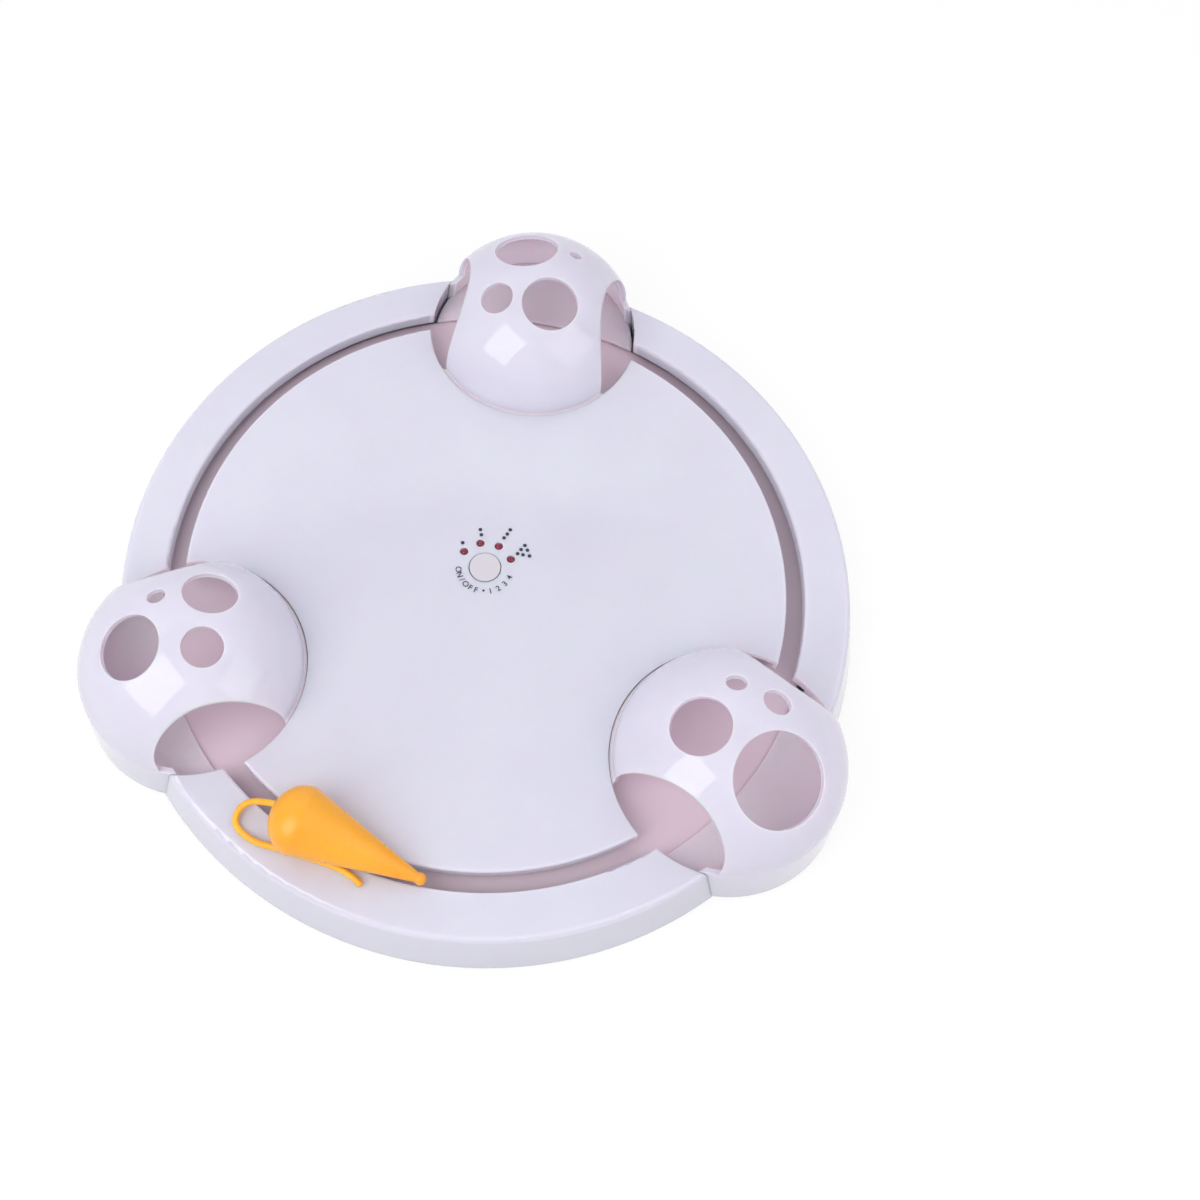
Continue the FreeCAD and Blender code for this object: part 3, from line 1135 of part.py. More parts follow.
def make_cell(index):
    """A cell lying along X; its nub points to alternate sides."""
    side = -1 if index % 2 == 0 else 1
    axis = Vector(side, 0, 0)
    y = CELL_ROWS[index]
    z = number(CELL_MIDDLE)
    nub_end = side * (number(BAY_LONG) / 2 - number("contact_wall"))
    parts = []
    nub = number("nub_length")
    for tag, start, length, radius in (("nub", nub_end, nub, number("nub_radius")),
                                       ("can", nub_end - side * nub, number("cell_length") - nub,
                                        number("cell_radius"))):
        thing = doc.addObject("Part::Cylinder", "cell_%d_%s" % (index, tag))
        thing.Radius = radius
        thing.Height = length
        thing.Placement = Placement(Vector(start, y, z), Rotation(Vector(0, 0, 1), -axis))
        parts.append(thing)
    return fuse("cell_%d" % index, *parts)


def contact(name, side, rows, spring_row, tab_row):
    """A contact plate on a bay wall, with a leaf spring and a solder tab where it has them."""
    wall = side * number(BAY_LONG) / 2
    thick = number("contact_wall")
    margin, tall = 5.0, 11.0
    low, high = min(rows) - margin, max(rows) + margin
    z = number(CELL_MIDDLE)
    left = min(wall, wall - side * thick)
    parts = [box(name + "_plate", thick, high - low, tall, (left, low, z - tall / 2))]
    if spring_row is not None:
        face = wall - side * thick
        tip = face - side * number("spring_room")
        foot, inner_foot, point, leaf = 4.2, 3.6, 0.6, 4.0
        outline = [(face, spring_row - foot), (tip, spring_row - point), (tip, spring_row + point),
                   (face, spring_row + foot), (face, spring_row + inner_foot), (tip + side * thick, spring_row),
                   (face, spring_row - inner_foot)]
        parts.append(padded(name + "_leaf", outline, z - leaf / 2, leaf))
    if tab_row is not None:
        reach = number("contact_tab")
        parts.append(box(name + "_tab", reach, "tab_wide", "contact_wall",
                         (min(wall, wall + side * reach), tab_row - number("tab_wide") / 2, "tab_low")))
    return fuse(name, *parts) if len(parts) > 1 else parts[0]


def make_contacts():
    left = group("left_contacts", [contact("contact_plus", -1, [CELL_ROWS[0]], None, CELL_ROWS[0]),
                                   contact("contact_left", -1, CELL_ROWS[1:], CELL_ROWS[1], None)])
    right = group("right_contacts", [contact("contact_right", 1, CELL_ROWS[:2], CELL_ROWS[0], None),
                                     contact("contact_minus", 1, [CELL_ROWS[2]], CELL_ROWS[2], CELL_ROWS[2])])
    return left, right


def make_door():
    gap = "case_gap"
    plate = box("door_plate", "%s - 2 * %s" % (BAY_LONG, gap), "%s - 2 * %s" % (BAY_WIDE, gap), "door_wall",
                ("-(%s) / 2 + %s" % (BAY_LONG, gap), "bay_front - (%s) + %s" % (BAY_WIDE, gap), "floor_gap"))
    parts = [plate]
    holes = []
    for tag, low, place in (("front", "bay_front - tongue_root", DOOR_BOLTS[0]),
                            ("rear", REAR_EDGE + " - tongue_long + case_gap", DOOR_BOLTS[1])):
        parts.append(box("door_tongue_" + tag, "2 * tongue_half", "tongue_long + tongue_root - case_gap",
                         "tongue_wall", ("-tongue_half", low, "floor_gap")))
        holes.append(cylinder("door_hole_" + tag, "small_radius + screw_pass", "deck_top", (*place, 0)))
        holes.append(cylinder("door_sink_" + tag, "small_head + screw_pass", DOOR_SEAT, (*place, 0)))
    return cut("door", fuse("door_solids", *parts), *holes)


def make_leads():
    """Four insulated leads inside the case."""
    radius = number("lead_radius")
    tab = number(BAY_LONG) / 2 + number("contact_tab")
    tab_high = number("tab_low") + number("contact_wall") / 2
    edge_high = number("board_low") + number("board_wall") / 2
    edge = number("board_half")
    back = number("board_back")
    can = number("motor_radius")
    red_turn, black_turn, out = -58.0, -76.0, 4.0
    red_start, red_out = step(MOTOR_AXIS, can, red_turn), step(MOTOR_AXIS, can + out, red_turn)
    black_start, black_out = step(MOTOR_AXIS, can, black_turn), step(MOTOR_AXIS, can + out, black_turn)
    plus, minus = CELL_ROWS[0], CELL_ROWS[2]
    battery_red = [(-tab, plus, tab_high), (-tab - 5, plus, tab_high), (-tab - 5, plus + 10, tab_high + 1),
                   (-edge - 7, 4.5, edge_high), (-edge, 4.5, edge_high)]
    battery_black = [(tab, minus, tab_high), (tab + 5.5, minus, tab_high), (tab + 5, minus + 14, tab_high),
                     (tab + 6, minus + 30, tab_high + 1), (tab - 1, 3.0, edge_high), (edge, 3.0, edge_high)]
    motor_red = [(*red_start, edge_high), (*red_out, edge_high),
                 (-4.5, back + out, edge_high), (-4.5, back, edge_high)]
    motor_black = [(*black_start, edge_high), (*black_out, edge_high),
                   (-9.0, back + out, edge_high), (-9.0, back, edge_high)]
    return {"battery_lead_red": cord("battery_red", battery_red, radius),
            "battery_lead_black": cord("battery_black", battery_black, radius),
            "motor_lead_red": cord("motor_red", motor_red, radius),
            "motor_lead_black": cord("motor_black", motor_black, radius)}


def build():
    keep("base_plate", make_base_plate())
    keep("outer_rim", make_outer_rim())
    keep("center_deck", make_center_deck())
    for side in DOME_ANGLES:
        keep("dome_cover_" + side, make_dome(side))
    keep("turntable_ring", make_turntable())
    body, plug = make_mouse()
    keep("mouse_body", body)
    keep("mouse_base", plug)
    keep("mouse_tail", make_tail())
    keep("drive_post", make_drive_post())
    keep("post_screw", small_screws("post_fastener", [POST_AXIS], "web_low", up=True))
    output, second, first, pinion = make_gears()
    keep("output_gear", output)
    keep("second_gear", second)
    keep("first_gear", first)
    keep("motor_pinion", pinion)
    motor, shaft = make_motor()
    keep("motor_can", motor)
    keep("motor_shaft", shaft)
    keep("motor_clamp", make_motor_clamp())
    keep("gearbox_cover", make_gearbox_cover())
    for tag, axis, radius, top in AXLES:
        keep(tag + "_axle", make_axle(tag, axis, radius))
    keep("control_board", make_board())
    switch, plunger = make_switch()
    keep("tact_switch", switch)
    keep("switch_plunger", plunger)
    keep("button_cap", make_button())
    for index in range(len(LAMP_ANGLES)):
        keep("led_%d" % (index + 1), make_lamp(index))
    keep("control_chip", make_chip())
    keep("capacitor", cylinder("capacitor_can", CAPACITOR_RADIUS, CAPACITOR_HIGH, (-11.5, -2.5, BOARD_TOP)))
    for index in range(3):
        keep("battery_cell_%d" % (index + 1), make_cell(index))
    left, right = make_contacts()
    keep("left_contacts", left)
    keep("right_contacts", right)
    keep("battery_door", make_door())
    for node, lead in make_leads().items():
        keep(node, lead)
    keep("deck_screws", case_screws("deck_fastener", DECK_BOLTS))
    keep("rim_screws", case_screws("rim_fastener", RIM_BOLTS))
    keep("dome_screws", case_screws("dome_fastener", DOME_BOLTS, "dome_screw"))
    lugs = [place for angle in DOME_ANGLES.values() for place in lug_places(angle)]
    keep("lug_screws", small_screws("lug_fastener", lugs, LUG_LOW, up=True))
    keep("board_screws", small_screws("board_fastener", BOARD_BOLTS, BOARD_TOP))
    keep("clamp_screws", small_screws("clamp_fastener", CLAMP_BOLTS, MOTOR_TOP + " + clamp_wall"))
    keep("cover_screws", small_screws("cover_fastener", COVER_BOLTS, COVER_LOW + " + cover_wall"))
    keep("door_screws", small_screws("door_fastener", DOOR_BOLTS, DOOR_SEAT, up=True))
    feet = [cylinder("foot_%d" % index, "foot_radius", "floor_gap + foot_sink",
                     (*around(FOOT_TURN + 360.0 / FEET * index, number("foot_place")), 0))
            for index in range(FEET)]
    keep("rubber_feet", group("feet", feet))


def centre_on_origin():
    """Move every sub-part so that the origin lies below the middle of the overall box."""
    behind = number("dome_place") + number("dome_radius") + number("dome_flare")
    before = number("rim_radius") + number("skirt_flare")
    shift = Vector(0, (behind - before) / 2, 0)
    doc.recompute()
    for thing in subparts.values():
        for path, value in thing.ExpressionEngine:
            if path.endswith("Placement.Base.y"):
                thing.setExpression(path, None)
        thing.Placement = Placement(thing.Placement.Base - shift, thing.Placement.Rotation)
    print("axis at y = %.3f mm" % -shift.y)


def write_parts():
    """Check every object, then write each sub-part."""
    doc.recompute()
    for thing in doc.Objects:
        if "Invalid" in thing.State or "Error" in thing.State:
            raise RuntimeError("%s failed: %s" % (thing.Name, thing.State))
    for node, thing in subparts.items():
        shape = thing.Shape
        if shape.isNull() or not shape.isValid() or not shape.Solids:
            raise RuntimeError("%s has no valid shape" % node)
    os.makedirs("parts", exist_ok=True)
    for node, thing in subparts.items():
        thing.Shape.exportStep("parts/%s.step" % node)
        print("%-20s %d solid(s) %10.1f mm3" % (node, len(thing.Shape.Solids), thing.Shape.Volume))
    print("pieces: %d" % len(subparts))


build()
centre_on_origin()
write_parts()
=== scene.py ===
import math

import bmesh
import bpy
from mathutils import Matrix, Vector


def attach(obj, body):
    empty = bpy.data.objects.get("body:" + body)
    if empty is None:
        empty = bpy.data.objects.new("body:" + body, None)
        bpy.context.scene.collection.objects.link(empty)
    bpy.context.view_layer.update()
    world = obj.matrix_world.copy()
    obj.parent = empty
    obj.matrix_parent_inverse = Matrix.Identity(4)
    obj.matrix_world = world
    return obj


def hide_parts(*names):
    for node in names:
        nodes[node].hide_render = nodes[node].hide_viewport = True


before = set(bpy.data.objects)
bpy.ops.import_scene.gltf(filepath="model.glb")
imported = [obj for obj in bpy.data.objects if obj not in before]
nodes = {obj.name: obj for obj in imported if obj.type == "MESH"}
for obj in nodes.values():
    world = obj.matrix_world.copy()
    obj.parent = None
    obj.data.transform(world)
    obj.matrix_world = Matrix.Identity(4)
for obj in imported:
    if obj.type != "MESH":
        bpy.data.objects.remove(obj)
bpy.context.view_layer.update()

MM = 0.001
AXIS_Y = -6.85                # the ring's axis in the row frame, mm
BUTTON = (0.0, AXIS_Y + 2.0)  # middle of the button, mm
DECK_TOP = 20.0               # top of the deck and the rim, mm
POST = (-40.18, -98.95)       # post under the mouse, from the ring's axis, mm
DOME_TURNS = (90.0, 210.0, 330.0)
DOME_PLACE = 103.9            # middle of a dome, from the ring's axis, mm
DOME_RADIUS = 37.6            # at deck level, mm
DOME_HEIGHT = 30.5            # above the deck, mm
DOME_SPREAD = 0.1             # how much the foot of a dome widens downward
INNER_FACE = 0.950            # a dome's inner face, as a share of its outer one
FACE_BLEND = 0.012            # how softly the painted light on the inner face begins, as such a share
SEAM_BAND = (0.992, 1.05)     # the shaded band round a dome's foot, where light is painted in, as such shares
TRAY_TOP = 12.0               # the floors inside the domes, where mauve shade is painted, lie below this height, mm
SEAM_TOP = 19.8               # the painted light on the walls of that band ends at this height, mm
SEAM_OUT = 121.0              # and this far out from the ring's axis, mm
TAIL_LIES = 21.25             # height of the tail's middle line on the rim, mm
TAIL_THICK = 2.1              # mm


# Camera

CAMERA_PLACE = (0.03451, -0.20794, 0.45194)    # in metres


def make_camera():
    """The photograph's own place, turn, lens and framing."""
    right = Vector((0.98180, 0.18940, -0.01394))
    up = Vector((-0.16456, 0.88509, 0.43535))
    back = Vector((0.09480, -0.42514, 0.90015))
    turn = Matrix((right, up, back)).transposed().to_4x4()
    data = bpy.data.cameras.new("photo_camera")
    data.lens = 41.51
    data.sensor_width = 36.0
    data.sensor_fit = "HORIZONTAL"
    data.shift_x = 0.1214
    data.shift_y = -0.0336
    data.clip_start = 0.01
    camera = bpy.data.objects.new("photo_camera", data)
    camera.matrix_world = Matrix.Translation(CAMERA_PLACE) @ turn
    bpy.context.scene.collection.objects.link(camera)
    bpy.context.scene.camera = camera


# Materials

def linear(red, green, blue):
    """A colour as it shows on a screen, 0 to 255, as the shader wants it."""
    def one(value):
        value = value / 255.0
        return value / 12.92 if value <= 0.04045 else ((value + 0.055) / 1.055) ** 2.4
    return (one(red), one(green), one(blue), 1.0)


def math_node(tree, operation, one, other=0.0):
    """One number from two, each of them a socket or a plain number."""
    node = tree.nodes.new("ShaderNodeMath")
    node.operation = operation
    for value, socket in ((one, node.inputs[0]), (other, node.inputs[1])):
        if isinstance(value, float):
            socket.default_value = value
        else:
            tree.links.new(value, socket)
    return node.outputs["Value"]


def range_node(tree, value, low, high, new_low, new_high, blend="LINEAR"):
    """A value that goes from new_low to new_high while another goes from low to high."""
    node = tree.nodes.new("ShaderNodeMapRange")
    node.interpolation_type = blend
    for socket, number in zip(("From Min", "From Max", "To Min", "To Max"), (low, high, new_low, new_high)):
        node.inputs[socket].default_value = number
    tree.links.new(value, node.inputs["Value"])
    return node.outputs["Result"]


WAVE_AT_ONE = 0.314    # length of one wave of the wave texture at scale 1


class Finish:
    """A node material round one Principled shader."""

    def __init__(self, name, rough, metallic=0.0, specular=0.5, coat=0.0):
        self.material = bpy.data.materials.new(name)
        self.material.use_nodes = True
        self.tree = self.material.node_tree
        self.shader = next(n for n in self.tree.nodes if n.type == "BSDF_PRINCIPLED")
        self.set("Roughness", rough)
        self.set("Metallic", metallic)
        self.set("Specular IOR Level", specular)
        self.set("Coat Weight", coat)
        self.set("Coat Roughness", 0.05)
        self.where = self.add("ShaderNodeTexCoord").outputs["Object"]
        self.base = None
        self.surface = None

    def set(self, socket, value):
        self.shader.inputs[socket].default_value = value

    def add(self, kind, **values):
        node = self.tree.nodes.new(kind)
        for key, value in values.items():
            setattr(node, key, value)
        return node

    def join(self, source, target):
        self.tree.links.new(source, target)

    def stretched(self, *factors):
        """The place on the piece, stretched along its axes."""
        node = self.add("ShaderNodeMapping")
        node.inputs["Scale"].default_value = factors
        self.join(self.where, node.inputs["Vector"])
        return node.outputs["Vector"]

    def height(self):
        """How high the place lies, in metres."""
        node = self.add("ShaderNodeSeparateXYZ")
        self.join(self.where, node.inputs["Vector"])
        return node.outputs["Z"]

    def reach(self, x, y):
        """How far the place lies from the upright line at x and y, in metres."""
        node = self.add("ShaderNodeVectorMath", operation="DISTANCE")
        self.join(self.stretched(1.0, 1.0, 0.0), node.inputs[0])
        node.inputs[1].default_value = (x, y, 0.0)
        return node.outputs["Value"]

    def noise(self, size, detail=2.0, where=None):
        """Soft spots about this many millimetres across."""
        node = self.add("ShaderNodeTexNoise")
        node.inputs["Scale"].default_value = 1.0 / (size * MM)
        node.inputs["Detail"].default_value = detail
        self.join(where or self.where, node.inputs["Vector"])
        return node.outputs["Fac"]

    def cells(self, size):
        """Small cells about this many millimetres across."""
        node = self.add("ShaderNodeTexVoronoi")
        node.inputs["Scale"].default_value = 1.0 / (size * MM)
        self.join(self.where, node.inputs["Vector"])
        return node.outputs["Distance"]

    def wave(self, size, direction="X", kind="BANDS", distortion=0.0):
        """Bands or rings this many millimetres apart."""
        node = self.add("ShaderNodeTexWave", wave_type=kind)
        if kind == "BANDS":
            node.bands_direction = direction
        else:
            node.rings_direction = direction
        node.inputs["Scale"].default_value = WAVE_AT_ONE / (size * MM)
        node.inputs["Distortion"].default_value = distortion
        self.join(self.where, node.inputs["Vector"])
        return node.outputs["Fac"]

    def ramp(self, value, stops):
        node = self.add("ShaderNodeValToRGB")
        points = node.color_ramp.elements
        while len(points) < len(stops):
            points.new(0.5)
        for point, (place, colour) in zip(points, stops):
            point.position = place
            point.color = colour
        self.join(value, node.inputs["Fac"])
        return node.outputs["Color"]

    def colour(self, value, *stops):
        """Base colour from a value, by stops of (place, (r, g, b))."""
        self.base = self.ramp(value, [(place, linear(*rgb)) for place, rgb in stops])
        self.join(self.base, self.shader.inputs["Base Color"])

    def combine(self, operation, one, other=0.0):
        return math_node(self.tree, operation, one, other)

    def ranged(self, value, low, high, new_low, new_high):
        return range_node(self.tree, value, low, high, new_low, new_high)

    def product(self, *values):
        total = values[0]
        for value in values[1:]:
            total = self.combine("MULTIPLY", total, value)
        return total

    def between(self, value, low, high, soft):
        """1 from low to high, with soft ends."""
        return self.product(self.ranged(value, low - soft, low, 0.0, 1.0),
                            self.ranged(value, high, high + soft, 1.0, 0.0))

    def dome_depth(self):
        """1 on the outer face of the nearest dome and its foot, less inside, more outside."""
        reaches = []
        for turn in DOME_TURNS:
            angle = math.radians(turn)
            reaches.append(self.reach(DOME_PLACE * math.cos(angle) * MM,
                                      (DOME_PLACE * math.sin(angle) + AXIS_Y) * MM))
        nearest = self.combine("MINIMUM", self.combine("MINIMUM", reaches[0], reaches[1]), reaches[2])
        height = self.height()
        up = self.combine("MAXIMUM", self.combine("SUBTRACT", height, DECK_TOP * MM))
        down = self.combine("MAXIMUM", self.combine("SUBTRACT", DECK_TOP * MM, height))
        wide = self.combine("ADD", self.product(down, DOME_SPREAD), DOME_RADIUS * MM)
        aside = self.combine("DIVIDE", nearest, wide)
        above = self.combine("DIVIDE", up, DOME_HEIGHT * MM)
        squares = self.combine("ADD", self.product(aside, aside), self.product(above, above))
        return self.combine("SQRT", squares)

    def tint(self, value, low, high, rgb):
        """Mixes another colour in where the value goes from low to high."""
        mask = self.ranged(value, low, high, 0.0, 1.0)
        mix = self.add("ShaderNodeMix", data_type="RGBA")
        self.join(mask, mix.inputs["Factor"])
        self.join(self.base, mix.inputs["A"])
        mix.inputs["B"].default_value = linear(*rgb)
        self.base = mix.outputs["Result"]
        self.join(self.base, self.shader.inputs["Base Color"])

    def roughness(self, value, low, high):
        """Roughness from low to high with the value."""
        self.join(self.ranged(value, 0.3, 0.7, low, high), self.shader.inputs["Roughness"])

    def soft_edges(self, radius):
        """Shades sharp edges as if they were rounded by this many millimetres."""
        node = self.add("ShaderNodeBevel", samples=6)
        node.inputs["Radius"].default_value = radius * MM
        self.surface = node.outputs["Normal"]
        self.join(self.surface, self.shader.inputs["Normal"])

    def bump(self, value, depth, strength=1.0):
        """Raises the surface by this many millimetres where the value is 1."""
        node = self.add("ShaderNodeBump")
        node.inputs["Distance"].default_value = depth * MM
        node.inputs["Strength"].default_value = strength
        self.join(value, node.inputs["Height"])
        if self.surface is not None:
            self.join(self.surface, node.inputs["Normal"])
        self.surface = node.outputs["Normal"]
        self.join(self.surface, self.shader.inputs["Normal"])


def moulded(name, light, dark, rough=(0.14, 0.24), specular=0.6, edge=0.5, depth=0.0):
    """Glossy moulded plastic: slow colour drift, faint flow waves and a fine skin."""
    f = Finish(name, rough[0], specular=specular)
    if depth:
        f.set("Subsurface Weight", 1.0)
        f.set("Subsurface Radius", (1.0, 0.66, 0.80))
        f.set("Subsurface Scale", depth * MM)
    f.colour(f.noise(46.0, 3.0), (0.32, dark), (0.68, light))
    f.roughness(f.noise(14.0, 2.0), *rough)
    f.soft_edges(edge)
    f.bump(f.noise(24.0, 1.0), 0.015, 0.5)
    f.bump(f.noise(0.9, 2.0), 0.004, 0.5)
    return f


def metal(name, light, dark, rough=(0.22, 0.38)):
    """Drawn or turned metal: fine lines, soft tarnish and softened edges."""
    f = Finish(name, rough[0], metallic=1.0)
    f.colour(f.noise(1.6, 4.0), (0.35, dark), (0.65, light))
    f.roughness(f.noise(0.7, 3.0), *rough)
    f.soft_edges(0.12)
    lines = f.noise(0.18, 2.0, f.stretched(1.0, 1.0, 0.06))
    f.bump(lines, 0.006, 0.6)
    return f


def make_shell():
    """The case's plastic, with painted light on the domes' inner faces (paler and pinker, for light let
    through the thin shell), painted mauve shade on the low floors inside them and painted light in the
    shaded gaps at their feet.
    """
    f = moulded("shell_lilac_white", (217, 217, 228), (213, 212, 224), (0.04, 0.09), depth=3.0)
    depth = f.dome_depth()
    # painted light: the domes' inner faces are made paler and pinker, for the light that comes through the
    # thin shell
    inside = f.ranged(depth, INNER_FACE + FACE_BLEND, INNER_FACE, 0.0, 1.0)
    f.tint(inside, 0.0, 1.0, (250, 240, 248))
    # painted shade: the low floors inside the domes get the mauve of the shade inside the case
    tray_painted_shade = f.product(inside, f.ranged(f.height(), (TRAY_TOP + 0.3) * MM, TRAY_TOP * MM, 0.0, 1.0))
    f.tint(tray_painted_shade, 0.0, 1.0, (236, 217, 228))
    # painted light: the shaded gap round each dome's foot is made paler
    seam_painted_light = f.product(f.between(depth, *SEAM_BAND, 0.004),
                     f.ranged(f.height(), SEAM_TOP * MM, (SEAM_TOP - 0.3) * MM, 0.0, 1.0),
                     f.ranged(f.reach(0.0, AXIS_Y * MM), SEAM_OUT * MM, (SEAM_OUT - 1.0) * MM, 0.0, 1.0))
    f.tint(seam_painted_light, 0.0, 1.0, (250, 234, 245))
    return f


def make_finishes():
    made = {"shell": make_shell()}
    made["base"] = moulded("base_lilac_white", (212, 208, 222), (206, 202, 216), (0.3, 0.42))
    made["button"] = moulded("button_warm_white", (209, 205, 212), (204, 200, 208), (0.2, 0.3), edge=0.3)

    # painted shade: the ring's pink-mauve colour is the shade inside the case, painted onto its lilac-white
    # plastic
    f = moulded("ring_mauve", (229, 210, 221), (223, 203, 215), (0.34, 0.46), specular=0.4)
    f.bump(f.wave(1.1, kind="RINGS", direction="Z"), 0.004, 0.4)
    made["ring"] = f

    f = Finish("mouse_orange_gloss", 0.2, specular=0.55)
    f.colour(f.noise(22.0, 3.0), (0.3, (244, 162, 32)), (0.7, (248, 176, 40)))
    f.roughness(f.noise(6.0, 2.0), 0.24, 0.36)
    f.soft_edges(0.9)
    f.set("Subsurface Weight", 0.12)
    f.set("Subsurface Radius", (1.0, 0.5, 0.15))
    f.set("Subsurface Scale", 1.2 * MM)
    f.bump(f.noise(9.0, 1.0), 0.05, 0.5)
    f.bump(f.noise(0.5, 2.0), 0.004, 0.5)
    made["mouse"] = f

    f = Finish("tail_orange_rubber", 0.34, specular=0.5)
    f.colour(f.noise(7.0, 3.0), (0.3, (252, 176, 34)), (0.7, (255, 190, 52)))
    f.roughness(f.noise(2.0, 2.0), 0.26, 0.44)
    f.bump(f.noise(1.2, 2.0), 0.03, 0.5)
    made["tail"] = f

    f = Finish("lamp_red_lens", 0.1, specular=0.6)
    f.colour(f.noise(1.1, 3.0), (0.35, (128, 24, 56)), (0.65, (176, 40, 72)))
    f.set("Transmission Weight", 0.25)
    f.bump(f.cells(0.35), 0.02, 0.5)
    made["lamp"] = f

    made["steel"] = metal("zinc_steel", (206, 206, 208), (168, 168, 172))
    made["contact"] = metal("nickel_strip", (214, 210, 200), (180, 176, 168), (0.18, 0.3))
    made["brass"] = metal("pinion_brass", (224, 190, 120), (190, 150, 84))

    made["gear"] = moulded("gear_acetal", (232, 228, 214), (222, 217, 200), (0.34, 0.48),
                           specular=0.45, edge=0.15)

    f = Finish("board_green", 0.38, specular=0.5, coat=0.4)
    f.colour(f.noise(3.0, 2.0), (0.35, (22, 84, 50)), (0.65, (34, 104, 64)))
    tracks = f.wave(1.5, "X", distortion=2.0)
    f.tint(tracks, 0.78, 0.84, (52, 132, 84))
    f.bump(tracks, 0.02, 0.6)
    f.bump(f.noise(0.25, 1.0), 0.006, 0.5)
    made["board"] = f

    f = Finish("black_moulding", 0.5, specular=0.45)
    f.colour(f.noise(0.8, 3.0), (0.35, (26, 26, 28)), (0.65, (38, 38, 42)))
    f.roughness(f.noise(0.5, 2.0), 0.42, 0.6)
    f.soft_edges(0.15)
    f.bump(f.noise(0.18, 2.0), 0.01, 0.7)
    made["black"] = f

    f = Finish("cell_jacket", 0.26, specular=0.55, coat=0.5)
    along = f.wave(26.0, "X")
    f.colour(along, (0.0, (38, 42, 56)), (0.52, (46, 52, 70)), (0.56, (196, 146, 74)), (1.0, (206, 158, 88)))
    f.roughness(f.noise(2.0, 2.0), 0.2, 0.34)
    f.bump(f.noise(1.5, 3.0), 0.02, 0.5)
    made["cell"] = f

    for name, light, dark in (("lead_red", (190, 34, 34), (160, 22, 24)),
                              ("lead_black", (36, 36, 38), (22, 22, 24))):
        f = Finish(name, 0.42, specular=0.45)
        f.colour(f.noise(2.4, 3.0), (0.35, dark), (0.65, light))
        f.roughness(f.noise(0.9, 2.0), 0.34, 0.52)
        f.bump(f.noise(0.6, 2.0), 0.01, 0.5)
        made[name] = f

    f = Finish("foot_rubber", 0.78, specular=0.3)
    f.colour(f.noise(1.4, 4.0), (0.35, (64, 62, 68)), (0.65, (84, 82, 88)))
    f.roughness(f.noise(0.7, 2.0), 0.7, 0.88)
    f.soft_edges(0.3)
    f.bump(f.noise(0.3, 3.0), 0.03, 0.7)
    made["rubber"] = f

    f = Finish("navy_print", 0.42, specular=0.4)
    f.colour(f.noise(0.5, 3.0), (0.35, (46, 44, 72)), (0.7, (66, 64, 92)))
    f.bump(f.noise(0.12, 2.0), 0.01, 0.5)
    made["print"] = f
    return made


DRESS = {
    "shell": ["center_deck", "outer_rim", "dome_cover_back", "dome_cover_left", "dome_cover_right"],
    "base": ["base_plate", "battery_door", "gearbox_cover"],
    "button": ["button_cap"],
    "ring": ["turntable_ring"],
    "mouse": ["mouse_body", "mouse_base"],
    "tail": ["mouse_tail"],
    "lamp": ["led_1", "led_2", "led_3", "led_4"],
    "steel": ["drive_post", "post_screw", "motor_can", "motor_shaft", "motor_clamp", "output_axle",
              "second_axle", "first_axle", "deck_screws", "rim_screws", "dome_screws", "lug_screws",
              "board_screws", "clamp_screws", "cover_screws", "door_screws"],
    "contact": ["left_contacts", "right_contacts"],
    "brass": ["motor_pinion"],
    "gear": ["output_gear", "second_gear", "first_gear"],
    "board": ["control_board"],
    "black": ["control_chip", "tact_switch", "switch_plunger", "capacitor"],
    "cell": ["battery_cell_1", "battery_cell_2", "battery_cell_3"],
    "lead_red": ["battery_lead_red", "motor_lead_red"],
    "lead_black": ["battery_lead_black", "motor_lead_black"],
    "rubber": ["rubber_feet"],
}


def paint(thing, finish):
    """Gives every face of a piece this finish."""
    slots = thing.data.materials
    if not slots:
        slots.append(finish.material)
    for index in range(len(slots)):
        slots[index] = finish.material


# Tail

def make_tail(finish):
    """The tail as one smooth cord along the route that its solid follows."""
    x, y = POST
    lie = TAIL_LIES
    route = [(x - 6.6, y + 3.7, lie + 6.5), (x - 9.8, y + 4.5, lie + 6.5), (x - 20.1, y + 4.7, lie + 1.5),
             (x - 22.7, y - 2.8, lie), (x - 14.6, y - 7.5, lie), (x - 6.1, y - 7.8, lie),
             (x + 2.2, y - 8.9, lie), (x + 10.6, y - 9.7, lie), (x + 18.7, y - 11.8, lie),
             (x + 22.1, y - 14.4, lie)]
    points = [Vector((px, py + AXIS_Y, pz)) * MM for px, py, pz in route]
    curve = bpy.data.curves.new("tail_cord", "CURVE")
    curve.dimensions = "3D"
    curve.bevel_depth = TAIL_THICK / 2 * MM
    curve.bevel_resolution = 8
    curve.use_fill_caps = True
    spline = curve.splines.new("NURBS")
    spline.points.add(len(points) - 1)
    for point, place in zip(spline.points, points):
        point.co = (*place, 1.0)
    spline.order_u = 3
    spline.use_endpoint_u = True
    spline.resolution_u = 24
    tail = bpy.data.objects.new("tail_cord", curve)
    bpy.context.scene.collection.objects.link(tail)
    curve.materials.append(finish.material)
    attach(tail, "turntable")
    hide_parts("mouse_tail")


# Print on the deck

